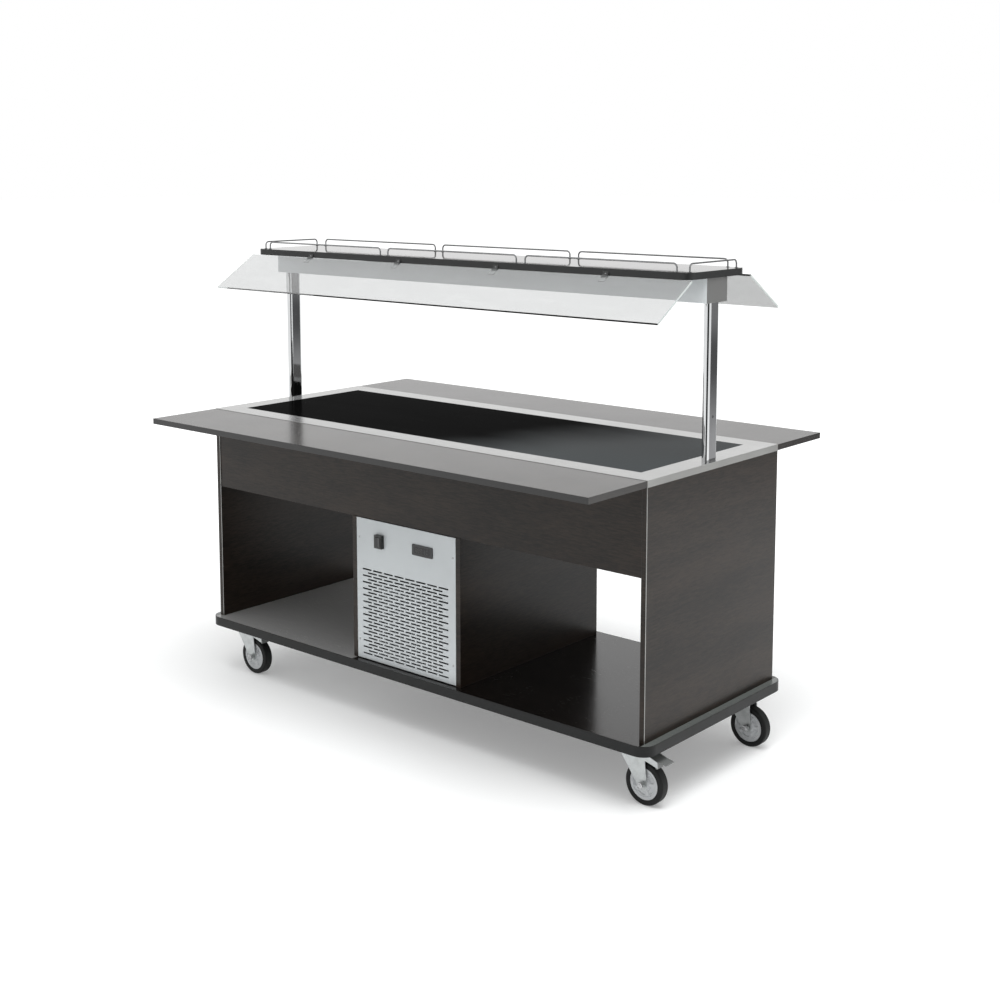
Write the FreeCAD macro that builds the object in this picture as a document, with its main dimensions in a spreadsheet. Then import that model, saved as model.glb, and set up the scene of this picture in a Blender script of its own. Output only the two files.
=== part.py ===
import FreeCAD, Part
import math
import os
import Sketcher

# Mobile refrigerated salad bar, in millimetres. X runs along the counter, the
# grille faces -Y, Z is up and the wheels stand on Z = 0 under the middle.

doc = FreeCAD.newDocument("SaladBar")

# ---------------------------------------------------------------- sizes
# Driving dimensions. Each one can be changed by itself.
SIZES = {
    # carcass
    "body_length": 1800, "body_depth": 680, "counter_height": 930,
    "board_thickness": 18, "panel_edge_radius": 2, "apron_bottom": 660,
    "apron_recess": 2, "compartment_width": 422, "batten_width": 18,
    # base board and its edging
    "base_overhang": 25, "base_thickness": 30, "base_corner": 43,
    "edging_thickness": 2, "caster_height": 170,
    # cold top
    "rim_height": 20, "sheet_thickness": 2, "glass_length": 1652,
    "glass_depth": 530, "glass_thickness": 6, "glass_gap": 0.3,
    "lip_width": 15, "cold_plate_thickness": 3, "cold_plate_gap": 1,
    "tray_depth": 52, "coil_tube": 8, "coil_pitch": 72, "coil_runs": 6,
    "coil_inset": 60, "coil_chamber": 10, "foam_wall": 12,
    # slotted grille
    "grille_gap": 0.3, "grille_bottom_gap": 3, "grille_top_gap": 2,
    "slot_length": 40, "slot_width": 5, "slot_pitch": 46.7,
    "row_pitch": 21.1, "slot_columns": 8, "slot_rows": 15,
    "slot_bottom": 220.5, "slot_shift": -3,
    "louvre_length": 150, "louvre_width": 8, "louvre_pitch": 24,
    "louvre_rows": 14, "louvre_bottom": 260,
    # controls
    "switch_length": 32, "switch_height": 42, "switch_lip": 3,
    "switch_middle": -106.3, "control_level": 595, "switch_proud": 12,
    "rocker_length": 17, "rocker_height": 30, "rocker_pin": 4,
    "rocker_tilt": 10, "rocker_swing": 2.3, "rocker_sink": 10,
    "rocker_proud": 4, "rocker_dip": 2.5,
    "thermostat_length": 85, "thermostat_height": 34, "thermostat_lip": 4,
    "thermostat_middle": 75.5, "thermostat_proud": 3, "bezel_corner": 4,
    "window_length": 66, "window_height": 20, "control_depth": 20,
    # columns, lamp housing and canopy
    "column_width": 22, "column_depth": 56, "column_wall": 2,
    "column_inset": 27, "spigot_gap": 1, "spigot_height": 42,
    "socket_drop": 48, "lamp_bottom": 1380, "lamp_height": 70,
    "lamp_depth": 104, "lamp_overhang": 9, "lamp_wall": 4,
    "diffuser_thickness": 3, "canopy_inset": 5, "canopy_depth": 295,
    "canopy_thickness": 20, "canopy_corner": 30,
    # gallery rails
    "rail_wire": 5, "rail_height": 26, "rail_bend": 12, "rail_inset": 17,
    "rail_gap": 34, "rail_end_inset": 52, "end_rail_length": 274,
    # slanting guard panes
    "pane_overhang": 11.5, "pane_thickness": 6, "pane_drop": 103,
    "pane_reach": 160.5, "pane_start": 4.2, "pane_below": 2.1,
    "clip_width": 20, "clip_sheet": 2, "clip_rise": 12, "clip_grip": 25,
    "clip_inset": 280, "clip_back": 5, "clip_lip": 6, "strap_drop": 8,
    # folding shelves
    "shelf_width": 259.5, "shelf_gap": 0.5, "shelf_step": 1,
    "hinge_out": 7, "hinge_down": 10, "hinge_pin": 6, "hinge_fit": 0.05,
    "hinge_barrel": 12, "arm_width": 40, "arm_thickness": 4,
    "arm_length": 210, "lug_gap": 0.3, "lug_thickness": 3,
    "hinge_plate_width": 66, "hinge_plate_height": 50,
    "hinge_plate_thickness": 3, "hinge_spacing": 650,
    # casters
    "caster_inset": 75, "caster_in_depth": 65, "wheel_diameter": 125,
    "wheel_trail": 40, "tyre_width": 32, "tyre_thickness": 16,
    "tyre_shoulder": 6, "hub_length": 39, "hub_diameter": 32,
    "web_width": 18, "axle_diameter": 10, "running_fit": 0.05,
    "fork_sheet": 3, "fork_inside": 40, "fork_head": 72,
    "fork_head_thickness": 4, "swivel_gap": 0.3, "fork_end": 15,
    "king_pin": 16, "king_nut": 26, "caster_plate_length": 105,
    "caster_plate_width": 85, "caster_plate_thickness": 4,
    "raceway_diameter": 70, "raceway_height": 8, "pedal_pivot": 6,
    "pedal_width": 39, "pedal_thickness": 3, "pedal_out": 38,
    "pedal_drop": 27.7, "pedal_hub_wall": 4, "tread_back": 28,
    "tread_reach": 38, "tread_high": 15, "tread_low": 4,
    "pedal_web": 10, "pedal_web_rise": 12, "pedal_web_slope": 1, "shoe_root": 7,
    "shoe_drop": 16, "shoe_tip": 5, "shoe_lean": 1,
    "fork_skirt": 18, "fork_lead": 2, "fork_root_out": 8,
    "fork_root_drop": 24, "ear_reach": 12, "ear_drop": 8, "ear_rise": 10,
    "axle_nut": 16, "rim_flange": 8, "web_slope": 3, "tyre_lap": 2,
    "plate_bolt_inset": 9, "plate_bolt_head": 5, "plate_bolt_flats": 13,
    # cooling machine
    "unit_tray_length": 380, "unit_tray_gap": 8, "unit_tray_rim": 15,
    "compressor_diameter": 160, "compressor_height": 175,
    "compressor_corner": 50, "compressor_back": 70,
    "compressor_foot": 12, "compressor_foot_out": 10, "condenser_length": 250,
    "condenser_height": 250, "condenser_depth": 40, "condenser_back": 12,
    "fin_count": 12, "fin_thickness": 2, "shroud_depth": 18,
    "fan_diameter": 200, "fan_tip_gap": 4, "fan_hub": 50,
    "fan_blade_depth": 14, "fan_blades": 5, "fan_shaft": 8,
    "fan_blade_width": 44, "fan_blade_thickness": 2, "fan_blade_root": 3,
    "fan_blade_inset": 2, "motor_diameter": 72, "motor_length": 55,
    "motor_arm": 12, "motor_arm_lap": 4,
    "pipe_diameter": 10, "pipe_bend": 40,
}

sheet = doc.addObject("Spreadsheet::Sheet", "Sizes")
for row, (alias, value) in enumerate(SIZES.items(), start=1):
    sheet.set(f"A{row}", alias)
    sheet.set(f"B{row}", str(value))
    sheet.setAlias(f"B{row}", alias)
doc.recompute()


class Size:
    """A length that carries its value and the sheet formula that gives it."""

    def __init__(self, value, formula):
        self.value = float(value)
        self.formula = formula

    def __add__(self, other):
        other = as_size(other)
        return Size(self.value + other.value, f"({self.formula} + {other.formula})")

    def __sub__(self, other):
        other = as_size(other)
        return Size(self.value - other.value, f"({self.formula} - {other.formula})")

    def __mul__(self, other):
        other = as_size(other)
        return Size(self.value * other.value, f"({self.formula} * {other.formula})")

    def __truediv__(self, other):
        other = as_size(other)
        return Size(self.value / other.value, f"({self.formula} / {other.formula})")

    def __neg__(self):
        return Size(-self.value, f"(0 - {self.formula})")

    __radd__ = __add__
    __rmul__ = __mul__

    def __rsub__(self, other):
        return as_size(other) - self


def as_size(number):
    if isinstance(number, Size):
        return number
    return Size(number, f"({number})")


def root(square):
    return Size(math.sqrt(square.value), f"sqrt({square.formula})")


class Sheet:
    """Reads each cell of the sheet as a Size, by its alias."""

    def __getattr__(self, alias):
        return Size(sheet.get(alias), f"Sizes.{alias}")


S = Sheet()

# ---------------------------------------------------------------- helpers
NODES = []


def node(name, thing):
    """Keep an object as one sub-part under its own name."""
    thing.Label = name
    NODES.append(thing)
    return thing


def bind(thing, prop, size):
    thing.setExpression(prop, as_size(size).formula)


def place(thing, x=0, y=0, z=0):
    for axis, size in zip("xyz", (x, y, z)):
        bind(thing, f"Placement.Base.{axis}", size)
    return thing


def both(half):
    """The span from -half to +half."""
    half = as_size(half)
    return -half, half


def around(middle, length):
    return as_size(middle) - as_size(length) / 2, as_size(middle) + as_size(length) / 2


def block(name, x, y, z):
    """A box between two values on each axis."""
    box = doc.addObject("Part::Box", name)
    for prop, span in zip(("Length", "Width", "Height"), (x, y, z)):
        bind(box, prop, as_size(span[1]) - as_size(span[0]))
    return place(box, x[0], y[0], z[0])


TURN = {
    "x": FreeCAD.Rotation(FreeCAD.Vector(0, 1, 0), 90),
    "y": FreeCAD.Rotation(FreeCAD.Vector(1, 0, 0), -90),
    "z": FreeCAD.Rotation(),
}


def rod(name, axis, radius, span, x=0, y=0, z=0):
    """A cylinder along an axis, between the two values of span."""
    low, high = as_size(span[0]), as_size(span[1])
    bar = doc.addObject("Part::Cylinder", name)
    bind(bar, "Radius", radius)
    bind(bar, "Height", high - low)
    bar.Placement = FreeCAD.Placement(FreeCAD.Vector(), TURN[axis])
    start = {"x": x, "y": y, "z": z}
    start[axis] = low
    return place(bar, **start)


def fuse(name, *pieces):
    joined = doc.addObject("Part::MultiFuse", name)
    joined.Shapes = list(pieces)
    joined.Refine = True
    return joined


def together(name, *pieces):
    """Several separate solids kept as one sub-part."""
    group = doc.addObject("Part::Compound", name)
    group.Links = list(pieces)
    return group


def cut(name, base, *tools):
    result = doc.addObject("Part::Cut", name)
    result.Base = base
    result.Tool = tools[0] if len(tools) == 1 else together(name + "_tools", *tools)
    return result


def new_body(name):
    return doc.addObject("PartDesign::Body", name)


def sketch_on(body, role, name, offset=0):
    """A sketch on an origin plane of its body, moved along the plane's normal."""
    sketch = body.newObject("Sketcher::SketchObject", name)
    plane = [part for part in body.Origin.OriginFeatures if part.Role == role][0]
    sketch.AttachmentSupport = [(plane, "")]
    sketch.MapMode = "FlatFace"
    bind(sketch, "AttachmentOffset.Base.z", offset)
    return sketch


def hold(sketch, kind, where, size, name):
    """Add one constraint, named and bound to its formula."""
    size = as_size(size)
    number = sketch.addConstraint(Sketcher.Constraint(kind, *where, size.value))
    sketch.renameConstraint(number, name)
    bind(sketch, f"Constraints.{name}", size)


def outline(sketch, corners, arcs=None, closed=True):
    """Draw sides from corner to corner; arcs gives a side's centre and radius."""
    arcs = arcs or {}
    first = sketch.GeometryCount
    corners = [(as_size(x), as_size(y)) for x, y in corners]
    count = len(corners) if closed else len(corners) - 1
    starts, ends = [], []
    for side in range(count):
        x0, y0 = (size.value for size in corners[side])
        x1, y1 = (size.value for size in corners[(side + 1) % len(corners)])
        start, end = 1, 2
        if side in arcs:
            cx, cy, radius = (as_size(size) for size in arcs[side])
            angle0 = math.atan2(y0 - cy.value, x0 - cx.value)
            angle1 = math.atan2(y1 - cy.value, x1 - cx.value)
            if (angle1 - angle0) % (2 * math.pi) > math.pi + 0.01:
                start, end = 2, 1
                angle0, angle1 = angle1, angle0
            circle = Part.Circle(
                FreeCAD.Vector(cx.value, cy.value, 0), FreeCAD.Vector(0, 0, 1), radius.value
            )
            sketch.addGeometry(Part.ArcOfCircle(circle, angle0, angle1))
            if abs(x1 - x0) >= abs(y1 - y0):
                hold(sketch, "DistanceY", (-1, 1, first + side, 3), cy, f"c{first + side}")
            else:
                hold(sketch, "DistanceX", (-1, 1, first + side, 3), cx, f"c{first + side}")
        else:
            sketch.addGeometry(
                Part.LineSegment(FreeCAD.Vector(x0, y0, 0), FreeCAD.Vector(x1, y1, 0))
            )
        starts.append((first + side, start))
        ends.append((first + side, end))
    for side in range(count):
        if closed or side + 1 < count:
            following = starts[(side + 1) % count]
            sketch.addConstraint(Sketcher.Constraint("Coincident", *ends[side], *following))
    points = starts if closed else starts + ends[-1:]
    for (geometry, end), (x, y) in zip(points, corners):
        hold(sketch, "DistanceX", (-1, 1, geometry, end), x, f"x{geometry}_{end}")
        hold(sketch, "DistanceY", (-1, 1, geometry, end), y, f"y{geometry}_{end}")


def rectangle(x, y):
    return [(x[0], y[0]), (x[1], y[0]), (x[1], y[1]), (x[0], y[1])]


def stadium(sketch, half_width, half_depth, x=0, y=0):
    """A flat oval whose two ends are half circles."""
    left, right = as_size(x) - half_width, as_size(x) + half_width
    low, high = as_size(y) - half_depth + half_width, as_size(y) + half_depth - half_width
    corners = [(left, low), (right, low), (right, high), (left, high)]
    outline(sketch, corners, {0: (x, low, half_width), 2: (x, high, half_width)})


def circle(sketch, x, y, radius):
    number = sketch.GeometryCount
    x, y, radius = as_size(x), as_size(y), as_size(radius)
    centre = FreeCAD.Vector(x.value, y.value, 0)
    sketch.addGeometry(Part.Circle(centre, FreeCAD.Vector(0, 0, 1), radius.value))
    hold(sketch, "DistanceX", (-1, 1, number, 3), x, f"x{number}")
    hold(sketch, "DistanceY", (-1, 1, number, 3), y, f"y{number}")
    hold(sketch, "Radius", (number,), radius, f"r{number}")


def pad(body, sketch, length, symmetric=False):
    feature = body.newObject("PartDesign::Pad", "Pad")
    feature.Profile = sketch
    bind(feature, "Length", length)
    if symmetric:
        feature.SideType = "Symmetric"
    return feature


def pocket(body, sketch, depth, symmetric=False):
    """Cut against the sketch's normal, or to both sides of it."""
    feature = body.newObject("PartDesign::Pocket", "Pocket")
    feature.Profile = sketch
    bind(feature, "Length", depth)
    if symmetric:
        feature.SideType = "Symmetric"
    return feature


def round_edges(body, base, radius, wanted):
    """Round the edges whose middle and direction satisfy the test."""
    doc.recompute()
    names = []
    for number, edge in enumerate(base.Shape.Edges, start=1):
        if len(edge.Vertexes) != 2 or not isinstance(edge.Curve, Part.Line):
            continue
        direction = edge.Vertexes[1].Point - edge.Vertexes[0].Point
        if wanted(direction.normalize(), edge.CenterOfMass):
            names.append(f"Edge{number}")
    feature = body.newObject("PartDesign::Fillet", "Fillet")
    feature.Base = (base, names)
    bind(feature, "Radius", radius)
    return feature


def upright(direction, middle):
    return abs(direction.z) > 0.99


def repeat(body, feature, sketch, axis, pitch, count, second=None):
    """Repeat a feature along a sketch axis, and along a second one if given."""
    pattern = body.newObject("PartDesign::LinearPattern", "Rows")
    pattern.Originals = [feature]
    pattern.Direction = (sketch, [axis])
    pattern.Mode = "Spacing"
    bind(pattern, "Offset", pitch)
    bind(pattern, "Occurrences", count)
    if second:
        pattern.Direction2 = (sketch, [second[0]])
        pattern.Mode2 = "Spacing"
        bind(pattern, "Offset2", second[1])
        bind(pattern, "Occurrences2", second[2])
    body.Tip = pattern
    return pattern


def prism(name, role, corners, span, arcs=None):
    """An outline drawn in an origin plane and padded over a span of its normal."""
    low, high = as_size(span[0]), as_size(span[1])
    body = new_body(name)
    offset = -high if role == "XZ_Plane" else low
    sketch = sketch_on(body, role, name + "_outline", offset)
    outline(sketch, corners, arcs)
    pad(body, sketch, high - low)
    return body


def turned(name, corners, role, axis, arcs=None):
    """An outline turned once round an axis of its sketch."""
    body = new_body(name)
    sketch = sketch_on(body, role, name + "_profile")
    outline(sketch, corners, arcs)
    feature = body.newObject("PartDesign::Revolution", "Revolution")
    feature.Profile = sketch
    feature.ReferenceAxis = (sketch, [axis])
    feature.Angle = 360
    return body


def tangent_point(x, z, cx, cz, radius, side):
    """Where the line from (x, z) touches a circle; side is 1 or -1."""
    dx, dz = as_size(x) - cx, as_size(z) - cz
    square = dx * dx + dz * dz
    reach = root(square - radius * radius) * radius * side
    return (
        (radius * radius * dx - reach * dz) / square + cx,
        (radius * radius * dz + reach * dx) / square + cz,
    )


# ---------------------------------------------------------------- shared levels
HALF_LENGTH = S.body_length / 2
HALF_DEPTH = S.body_depth / 2
BASE_TOP = S.caster_height + S.base_thickness
RIM_BOTTOM = S.counter_height - S.rim_height
SKIN_UNDER = S.counter_height - S.sheet_thickness
GLASS_UNDER = S.counter_height - S.glass_thickness
LIP_UNDER = GLASS_UNDER - S.sheet_thickness
PANEL_INSIDE = HALF_LENGTH - S.board_thickness
APRON_FACE = HALF_DEPTH - S.apron_recess
APRON_BACK = APRON_FACE - S.board_thickness
COMPARTMENT = S.compartment_width / 2
OPENING_X = S.glass_length / 2
OPENING_Y = S.glass_depth / 2
LAMP_TOP = S.lamp_bottom + S.lamp_height
CANOPY_TOP = LAMP_TOP + S.canopy_thickness
COLUMN_X = HALF_LENGTH - S.column_inset
CANOPY_HALF = HALF_LENGTH - S.canopy_inset


# ---------------------------------------------------------------- carcass
def edged_board(name, length, depth, corner, low, thickness):
    """A board with rounded corners and the thin edging that goes round it."""
    edge = S.edging_thickness
    core = new_body(name + "_core")
    sketch = sketch_on(core, "XY_Plane", name + "_core_outline", low)
    outline(sketch, rectangle(both(length / 2 - edge), both(depth / 2 - edge)))
    base = pad(core, sketch, thickness)
    round_edges(core, base, corner - edge, upright)

    outside = new_body(name + "_outside")
    sketch = sketch_on(outside, "XY_Plane", name + "_outside_outline", low)
    outline(sketch, rectangle(both(length / 2), both(depth / 2)))
    base = pad(outside, sketch, thickness)
    round_edges(outside, base, corner, upright)
    band = cut(name + "_band", outside, core)
    return core, band


def make_base():
    length = S.body_length + S.base_overhang * 2
    depth = S.body_depth + S.base_overhang * 2
    board, band = edged_board(
        "base", length, depth, S.base_corner, S.caster_height, S.base_thickness
    )
    node("base_board", board)
    node("base_edging", band)


def make_end_panels():
    for name, x in (
        ("end_panel_left", (-HALF_LENGTH, -PANEL_INSIDE)),
        ("end_panel_right", (PANEL_INSIDE, HALF_LENGTH)),
    ):
        body = new_body(name)
        sketch = sketch_on(body, "XY_Plane", name + "_outline", BASE_TOP)
        outline(sketch, rectangle(x, both(HALF_DEPTH)))
        base = pad(body, sketch, RIM_BOTTOM - BASE_TOP)
        round_edges(body, base, S.panel_edge_radius, upright)
        node(name, body)


def make_aprons_and_dividers():
    x = both(PANEL_INSIDE)
    z = (S.apron_bottom, SKIN_UNDER)
    node("apron_front", block("apron_front", x, (-APRON_FACE, -APRON_BACK), z))
    node("apron_rear", block("apron_rear", x, (APRON_BACK, APRON_FACE), z))

    z = (BASE_TOP, S.apron_bottom)
    thick = S.board_thickness
    batten = S.batten_width
    grille_back = HALF_DEPTH - S.sheet_thickness
    for side, name in ((-1, "divider_left"), (1, "divider_right")):
        edges = [
            (COMPARTMENT, -HALF_DEPTH),
            (COMPARTMENT + thick, -HALF_DEPTH),
            (COMPARTMENT + thick, HALF_DEPTH),
            (COMPARTMENT, HALF_DEPTH),
            (COMPARTMENT, grille_back),
            (COMPARTMENT - batten, grille_back),
            (COMPARTMENT - batten, grille_back - batten),
            (COMPARTMENT, grille_back - batten),
            (COMPARTMENT, -grille_back + batten),
            (COMPARTMENT - batten, -grille_back + batten),
            (COMPARTMENT - batten, -grille_back),
            (COMPARTMENT, -grille_back),
        ]
        corners = [(x * side, y) for x, y in edges]
        if side < 0:
            corners.reverse()
        node(name, prism(name, "XY_Plane", corners, z))

    z = (S.apron_bottom, S.apron_bottom + thick)
    y = both(APRON_BACK)
    left = block("ceiling_left", (-PANEL_INSIDE, -COMPARTMENT), y, z)
    right = block("ceiling_right", (COMPARTMENT, PANEL_INSIDE), y, z)
    node("bay_ceilings", together("bay_ceilings", left, right))


# ---------------------------------------------------------------- grilles
SWITCH_NECK_LENGTH = S.switch_length - S.switch_lip * 2
SWITCH_NECK_HEIGHT = S.switch_height - S.switch_lip * 2
THERMOSTAT_CASE_LENGTH = S.thermostat_length - S.thermostat_lip * 2
THERMOSTAT_CASE_HEIGHT = S.thermostat_height - S.thermostat_lip * 2


def make_front_grille():
    """A flat sheet with staggered rows of slots and two control cut-outs."""
    half = COMPARTMENT - S.grille_gap
    low = BASE_TOP + S.grille_bottom_gap
    high = S.apron_bottom - S.grille_top_gap
    body = new_body("front_grille")
    face = HALF_DEPTH
    sketch = sketch_on(body, "XZ_Plane", "grille_outline", face - S.sheet_thickness)
    outline(sketch, rectangle(both(half), (low, high)))
    gap = S.grille_gap
    for middle, length, height in (
        (S.switch_middle, SWITCH_NECK_LENGTH, SWITCH_NECK_HEIGHT),
        (S.thermostat_middle, THERMOSTAT_CASE_LENGTH, THERMOSTAT_CASE_HEIGHT),
    ):
        x = around(middle, length + gap * 2)
        z = around(S.control_level, height + gap * 2)
        outline(sketch, rectangle(x, z))
    pad(body, sketch, S.sheet_thickness)

    first = S.slot_shift - S.slot_pitch * (S.slot_columns - 1) / 2
    for name, shift, rise, columns, rows in (
        ("long_row", 0, 0, S.slot_columns, S.slot_rows),
        ("short_row", S.slot_pitch / 2, S.row_pitch / 2, S.slot_columns - 1, S.slot_rows - 1),
    ):
        slot = sketch_on(body, "XZ_Plane", name, face)
        x = around(first + shift, S.slot_length)
        z = around(S.slot_bottom + rise, S.slot_width)
        outline(slot, rectangle(x, z))
        opening = pocket(body, slot, S.sheet_thickness)
        repeat(
            body, opening, slot, "H_Axis", S.slot_pitch, columns,
            ("V_Axis", S.row_pitch, rows),
        )
    node("front_grille", body)


def make_rear_grille():
    half = COMPARTMENT - S.grille_gap
    low = BASE_TOP + S.grille_bottom_gap
    high = S.apron_bottom - S.grille_top_gap
    body = new_body("rear_grille")
    sketch = sketch_on(body, "XZ_Plane", "rear_outline", -HALF_DEPTH)
    outline(sketch, rectangle(both(half), (low, high)))
    pad(body, sketch, S.sheet_thickness)
    slot = sketch_on(body, "XZ_Plane", "louvre", S.sheet_thickness - HALF_DEPTH)
    half_gap = (COMPARTMENT - S.batten_width - S.louvre_length) / 3
    x = (-half_gap - S.louvre_length, -half_gap)
    z = around(S.louvre_bottom, S.louvre_width)
    outline(slot, rectangle(x, z))
    opening = pocket(body, slot, S.sheet_thickness)
    pitch = S.louvre_length + half_gap * 2
    repeat(
        body, opening, slot, "H_Axis", pitch, 2,
        ("V_Axis", S.louvre_pitch, S.louvre_rows),
    )
    node("rear_grille", body)


# ---------------------------------------------------------------- cold top
SPIGOT_HALF_X = S.column_width / 2 - S.column_wall - S.spigot_gap
SPIGOT_HALF_Y = S.column_depth / 2 - S.column_wall - S.spigot_gap


def make_top_frame():
    """A folded rim: outer skirt, top skin, inner wall and lip under the glass."""
    sheet_size = S.sheet_thickness
    top = S.counter_height
    body = new_body("top_frame")

    sketch = sketch_on(body, "XY_Plane", "rim_outline", RIM_BOTTOM)
    outline(sketch, rectangle(both(HALF_LENGTH), both(HALF_DEPTH)))
    lip = S.lip_width
    outline(sketch, rectangle(both(OPENING_X - lip), both(OPENING_Y - lip)))
    pad(body, sketch, S.rim_height)

    sketch = sketch_on(body, "XY_Plane", "glass_recess", top)
    outline(sketch, rectangle(both(OPENING_X), both(OPENING_Y)))
    pocket(body, sketch, S.glass_thickness)

    sketch = sketch_on(body, "XY_Plane", "under_skin", SKIN_UNDER)
    outside = (both(HALF_LENGTH - sheet_size), both(HALF_DEPTH - sheet_size))
    inside = (both(OPENING_X + sheet_size), both(OPENING_Y + sheet_size))
    outline(sketch, rectangle(*outside))
    outline(sketch, rectangle(*inside))
    pocket(body, sketch, SKIN_UNDER - RIM_BOTTOM)

    sketch = sketch_on(body, "XY_Plane", "under_lip", LIP_UNDER)
    outline(sketch, rectangle(*inside))
    pocket(body, sketch, LIP_UNDER - RIM_BOTTOM)

    for side, name in ((-1, "left"), (1, "right")):
        sketch = sketch_on(body, "XY_Plane", f"spigot_hole_{name}", top)
        gap = S.swivel_gap
        stadium(sketch, SPIGOT_HALF_X + gap, SPIGOT_HALF_Y + gap, COLUMN_X * side)
        pocket(body, sketch, sheet_size)
    node("top_frame", body)


def make_cold_well():
    """Glass top, cold plate, evaporator coil, foam and the pan that holds them."""
    gap = S.glass_gap
    x = both(OPENING_X - gap)
    y = both(OPENING_Y - gap)
    node("glass_top", block("glass_top", x, y, (GLASS_UNDER, S.counter_height)))

    inner_x = OPENING_X - S.lip_width - S.cold_plate_gap
    inner_y = OPENING_Y - S.lip_width - S.cold_plate_gap
    plate_low = GLASS_UNDER - S.cold_plate_thickness
    node("cold_plate", block("cold_plate", both(inner_x), both(inner_y), (plate_low, GLASS_UNDER)))

    wall = S.sheet_thickness
    pan_x = inner_x + wall + S.cold_plate_gap
    pan_y = inner_y + wall + S.cold_plate_gap
    pan_low = LIP_UNDER - S.tray_depth
    shell = block("pan_shell", both(pan_x), both(pan_y), (pan_low, LIP_UNDER))
    hollow = block(
        "pan_hollow", both(pan_x - wall), both(pan_y - wall), (pan_low + wall, LIP_UNDER)
    )
    node("under_pan", cut("under_pan", shell, hollow))

    foam_x = both(pan_x - wall)
    foam_y = both(pan_y - wall)
    foam = block("foam_block", foam_x, foam_y, (pan_low + wall, plate_low))
    chamber_x = both(pan_x - wall - S.foam_wall)
    chamber_y = both(pan_y - wall - S.foam_wall)
    chamber = block(
        "coil_chamber", chamber_x, chamber_y, (plate_low - S.coil_chamber, plate_low)
    )
    node("insulation", cut("insulation", foam, chamber))
    make_evaporator(inner_x, plate_low)


def make_evaporator(inner_x, plate_low):
    """One tube folded to and fro under the cold plate."""
    pitch = S.coil_pitch
    bend = pitch / 2
    runs = int(S.coil_runs.value)
    end = inner_x - S.coil_inset
    body = new_body("evaporator_coil")
    path = sketch_on(body, "XY_Plane", "coil_path", plate_low - S.coil_tube / 2)
    first = -pitch * (runs - 1) / 2
    corners = []
    arcs = {}
    for run in range(runs):
        y = first + pitch * run
        ends = (-end, end) if run % 2 == 0 else (end, -end)
        corners += [(ends[0], y), (ends[1], y)]
        if run < runs - 1:
            arcs[2 * run + 1] = (ends[1], y + bend, bend)
    outline(path, corners, arcs, closed=False)
    section = sketch_on(body, "YZ_Plane", "coil_section", -end)
    circle(section, first, plate_low - S.coil_tube / 2, S.coil_tube / 2)
    pipe = body.newObject("PartDesign::AdditivePipe", "Pipe")
    pipe.Profile = section
    pipe.Spine = (path, [f"Edge{number + 1}" for number in range(path.GeometryCount)])
    node("evaporator_coil", body)


# ---------------------------------------------------------------- controls
def make_switch():
    """A rocker in a proud bezel, hung on two pins and tilted to one side."""
    middle, level = S.switch_middle, S.control_level
    proud_face = -HALF_DEPTH - S.switch_proud
    back = -HALF_DEPTH + S.control_depth
    bezel_x = around(middle, S.switch_length)
    bezel_z = around(level, S.switch_height)
    bezel = block("switch_bezel", bezel_x, (proud_face, -HALF_DEPTH), bezel_z)
    neck_x = around(middle, SWITCH_NECK_LENGTH)
    neck_z = around(level, SWITCH_NECK_HEIGHT)
    neck = block("switch_neck", neck_x, (-HALF_DEPTH, back), neck_z)
    well_x = around(middle, S.rocker_length + S.rocker_swing * 2)
    well_z = around(level, S.rocker_height + S.grille_gap * 2)
    well = block("switch_well", well_x, (proud_face, back - S.sheet_thickness), well_z)
    pivot_y = proud_face + S.rocker_sink
    pin_reach = (S.rocker_height + S.rocker_pin) / 2
    pin_end = pin_reach + S.running_fit * 2
    pin_hole = rod(
        "switch_pin_hole", "z", S.rocker_pin / 2 + S.running_fit,
        around(level, pin_end * 2), x=middle, y=pivot_y,
    )
    housing = cut("switch_housing", fuse("switch_body", bezel, neck), well, pin_hole)
    node("switch_housing", housing)

    half = S.rocker_length / 2
    end = -S.rocker_sink - S.rocker_proud
    dip = end + S.rocker_dip
    heel = S.rocker_pin
    corners = [
        (-half, end), (0, dip), (half, end), (half, 0), (heel, heel), (-heel, heel),
        (-half, 0),
    ]
    rocker = prism("rocker_paddle", "XY_Plane", corners, both(S.rocker_height / 2))
    pin = rod("rocker_pin", "z", S.rocker_pin / 2, both(pin_reach))
    paddle = fuse("switch_rocker", rocker, pin)
    place(paddle, middle, pivot_y, level)
    bind(paddle, "Placement.Rotation.Angle", S.rocker_tilt)
    node("switch_rocker", paddle)


def along_depth(direction, centre):
    return abs(direction.y) > 0.99


def make_thermostat():
    middle, level = S.thermostat_middle, S.control_level
    body = new_body("thermostat_housing")
    face = HALF_DEPTH + S.thermostat_proud
    sketch = sketch_on(body, "XZ_Plane", "bezel_outline", HALF_DEPTH)
    x = around(middle, S.thermostat_length)
    z = around(level, S.thermostat_height)
    outline(sketch, rectangle(x, z))
    base = pad(body, sketch, S.thermostat_proud)
    round_edges(body, base, S.bezel_corner, along_depth)
    sketch = sketch_on(body, "XZ_Plane", "case_outline", HALF_DEPTH - S.control_depth)
    case_x = around(middle, THERMOSTAT_CASE_LENGTH)
    case_z = around(level, THERMOSTAT_CASE_HEIGHT)
    outline(sketch, rectangle(case_x, case_z))
    pad(body, sketch, S.control_depth)
    sketch = sketch_on(body, "XZ_Plane", "window_recess", face)
    window_x = around(middle, S.window_length)
    window_z = around(level, S.window_height)
    outline(sketch, rectangle(window_x, window_z))
    pocket(body, sketch, S.thermostat_proud / 2)
    node("thermostat_housing", body)
    window_y = (-face, -face + S.thermostat_proud / 2)
    window = block("thermostat_window", window_x, window_y, window_z)
    node("thermostat_window", window)


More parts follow.
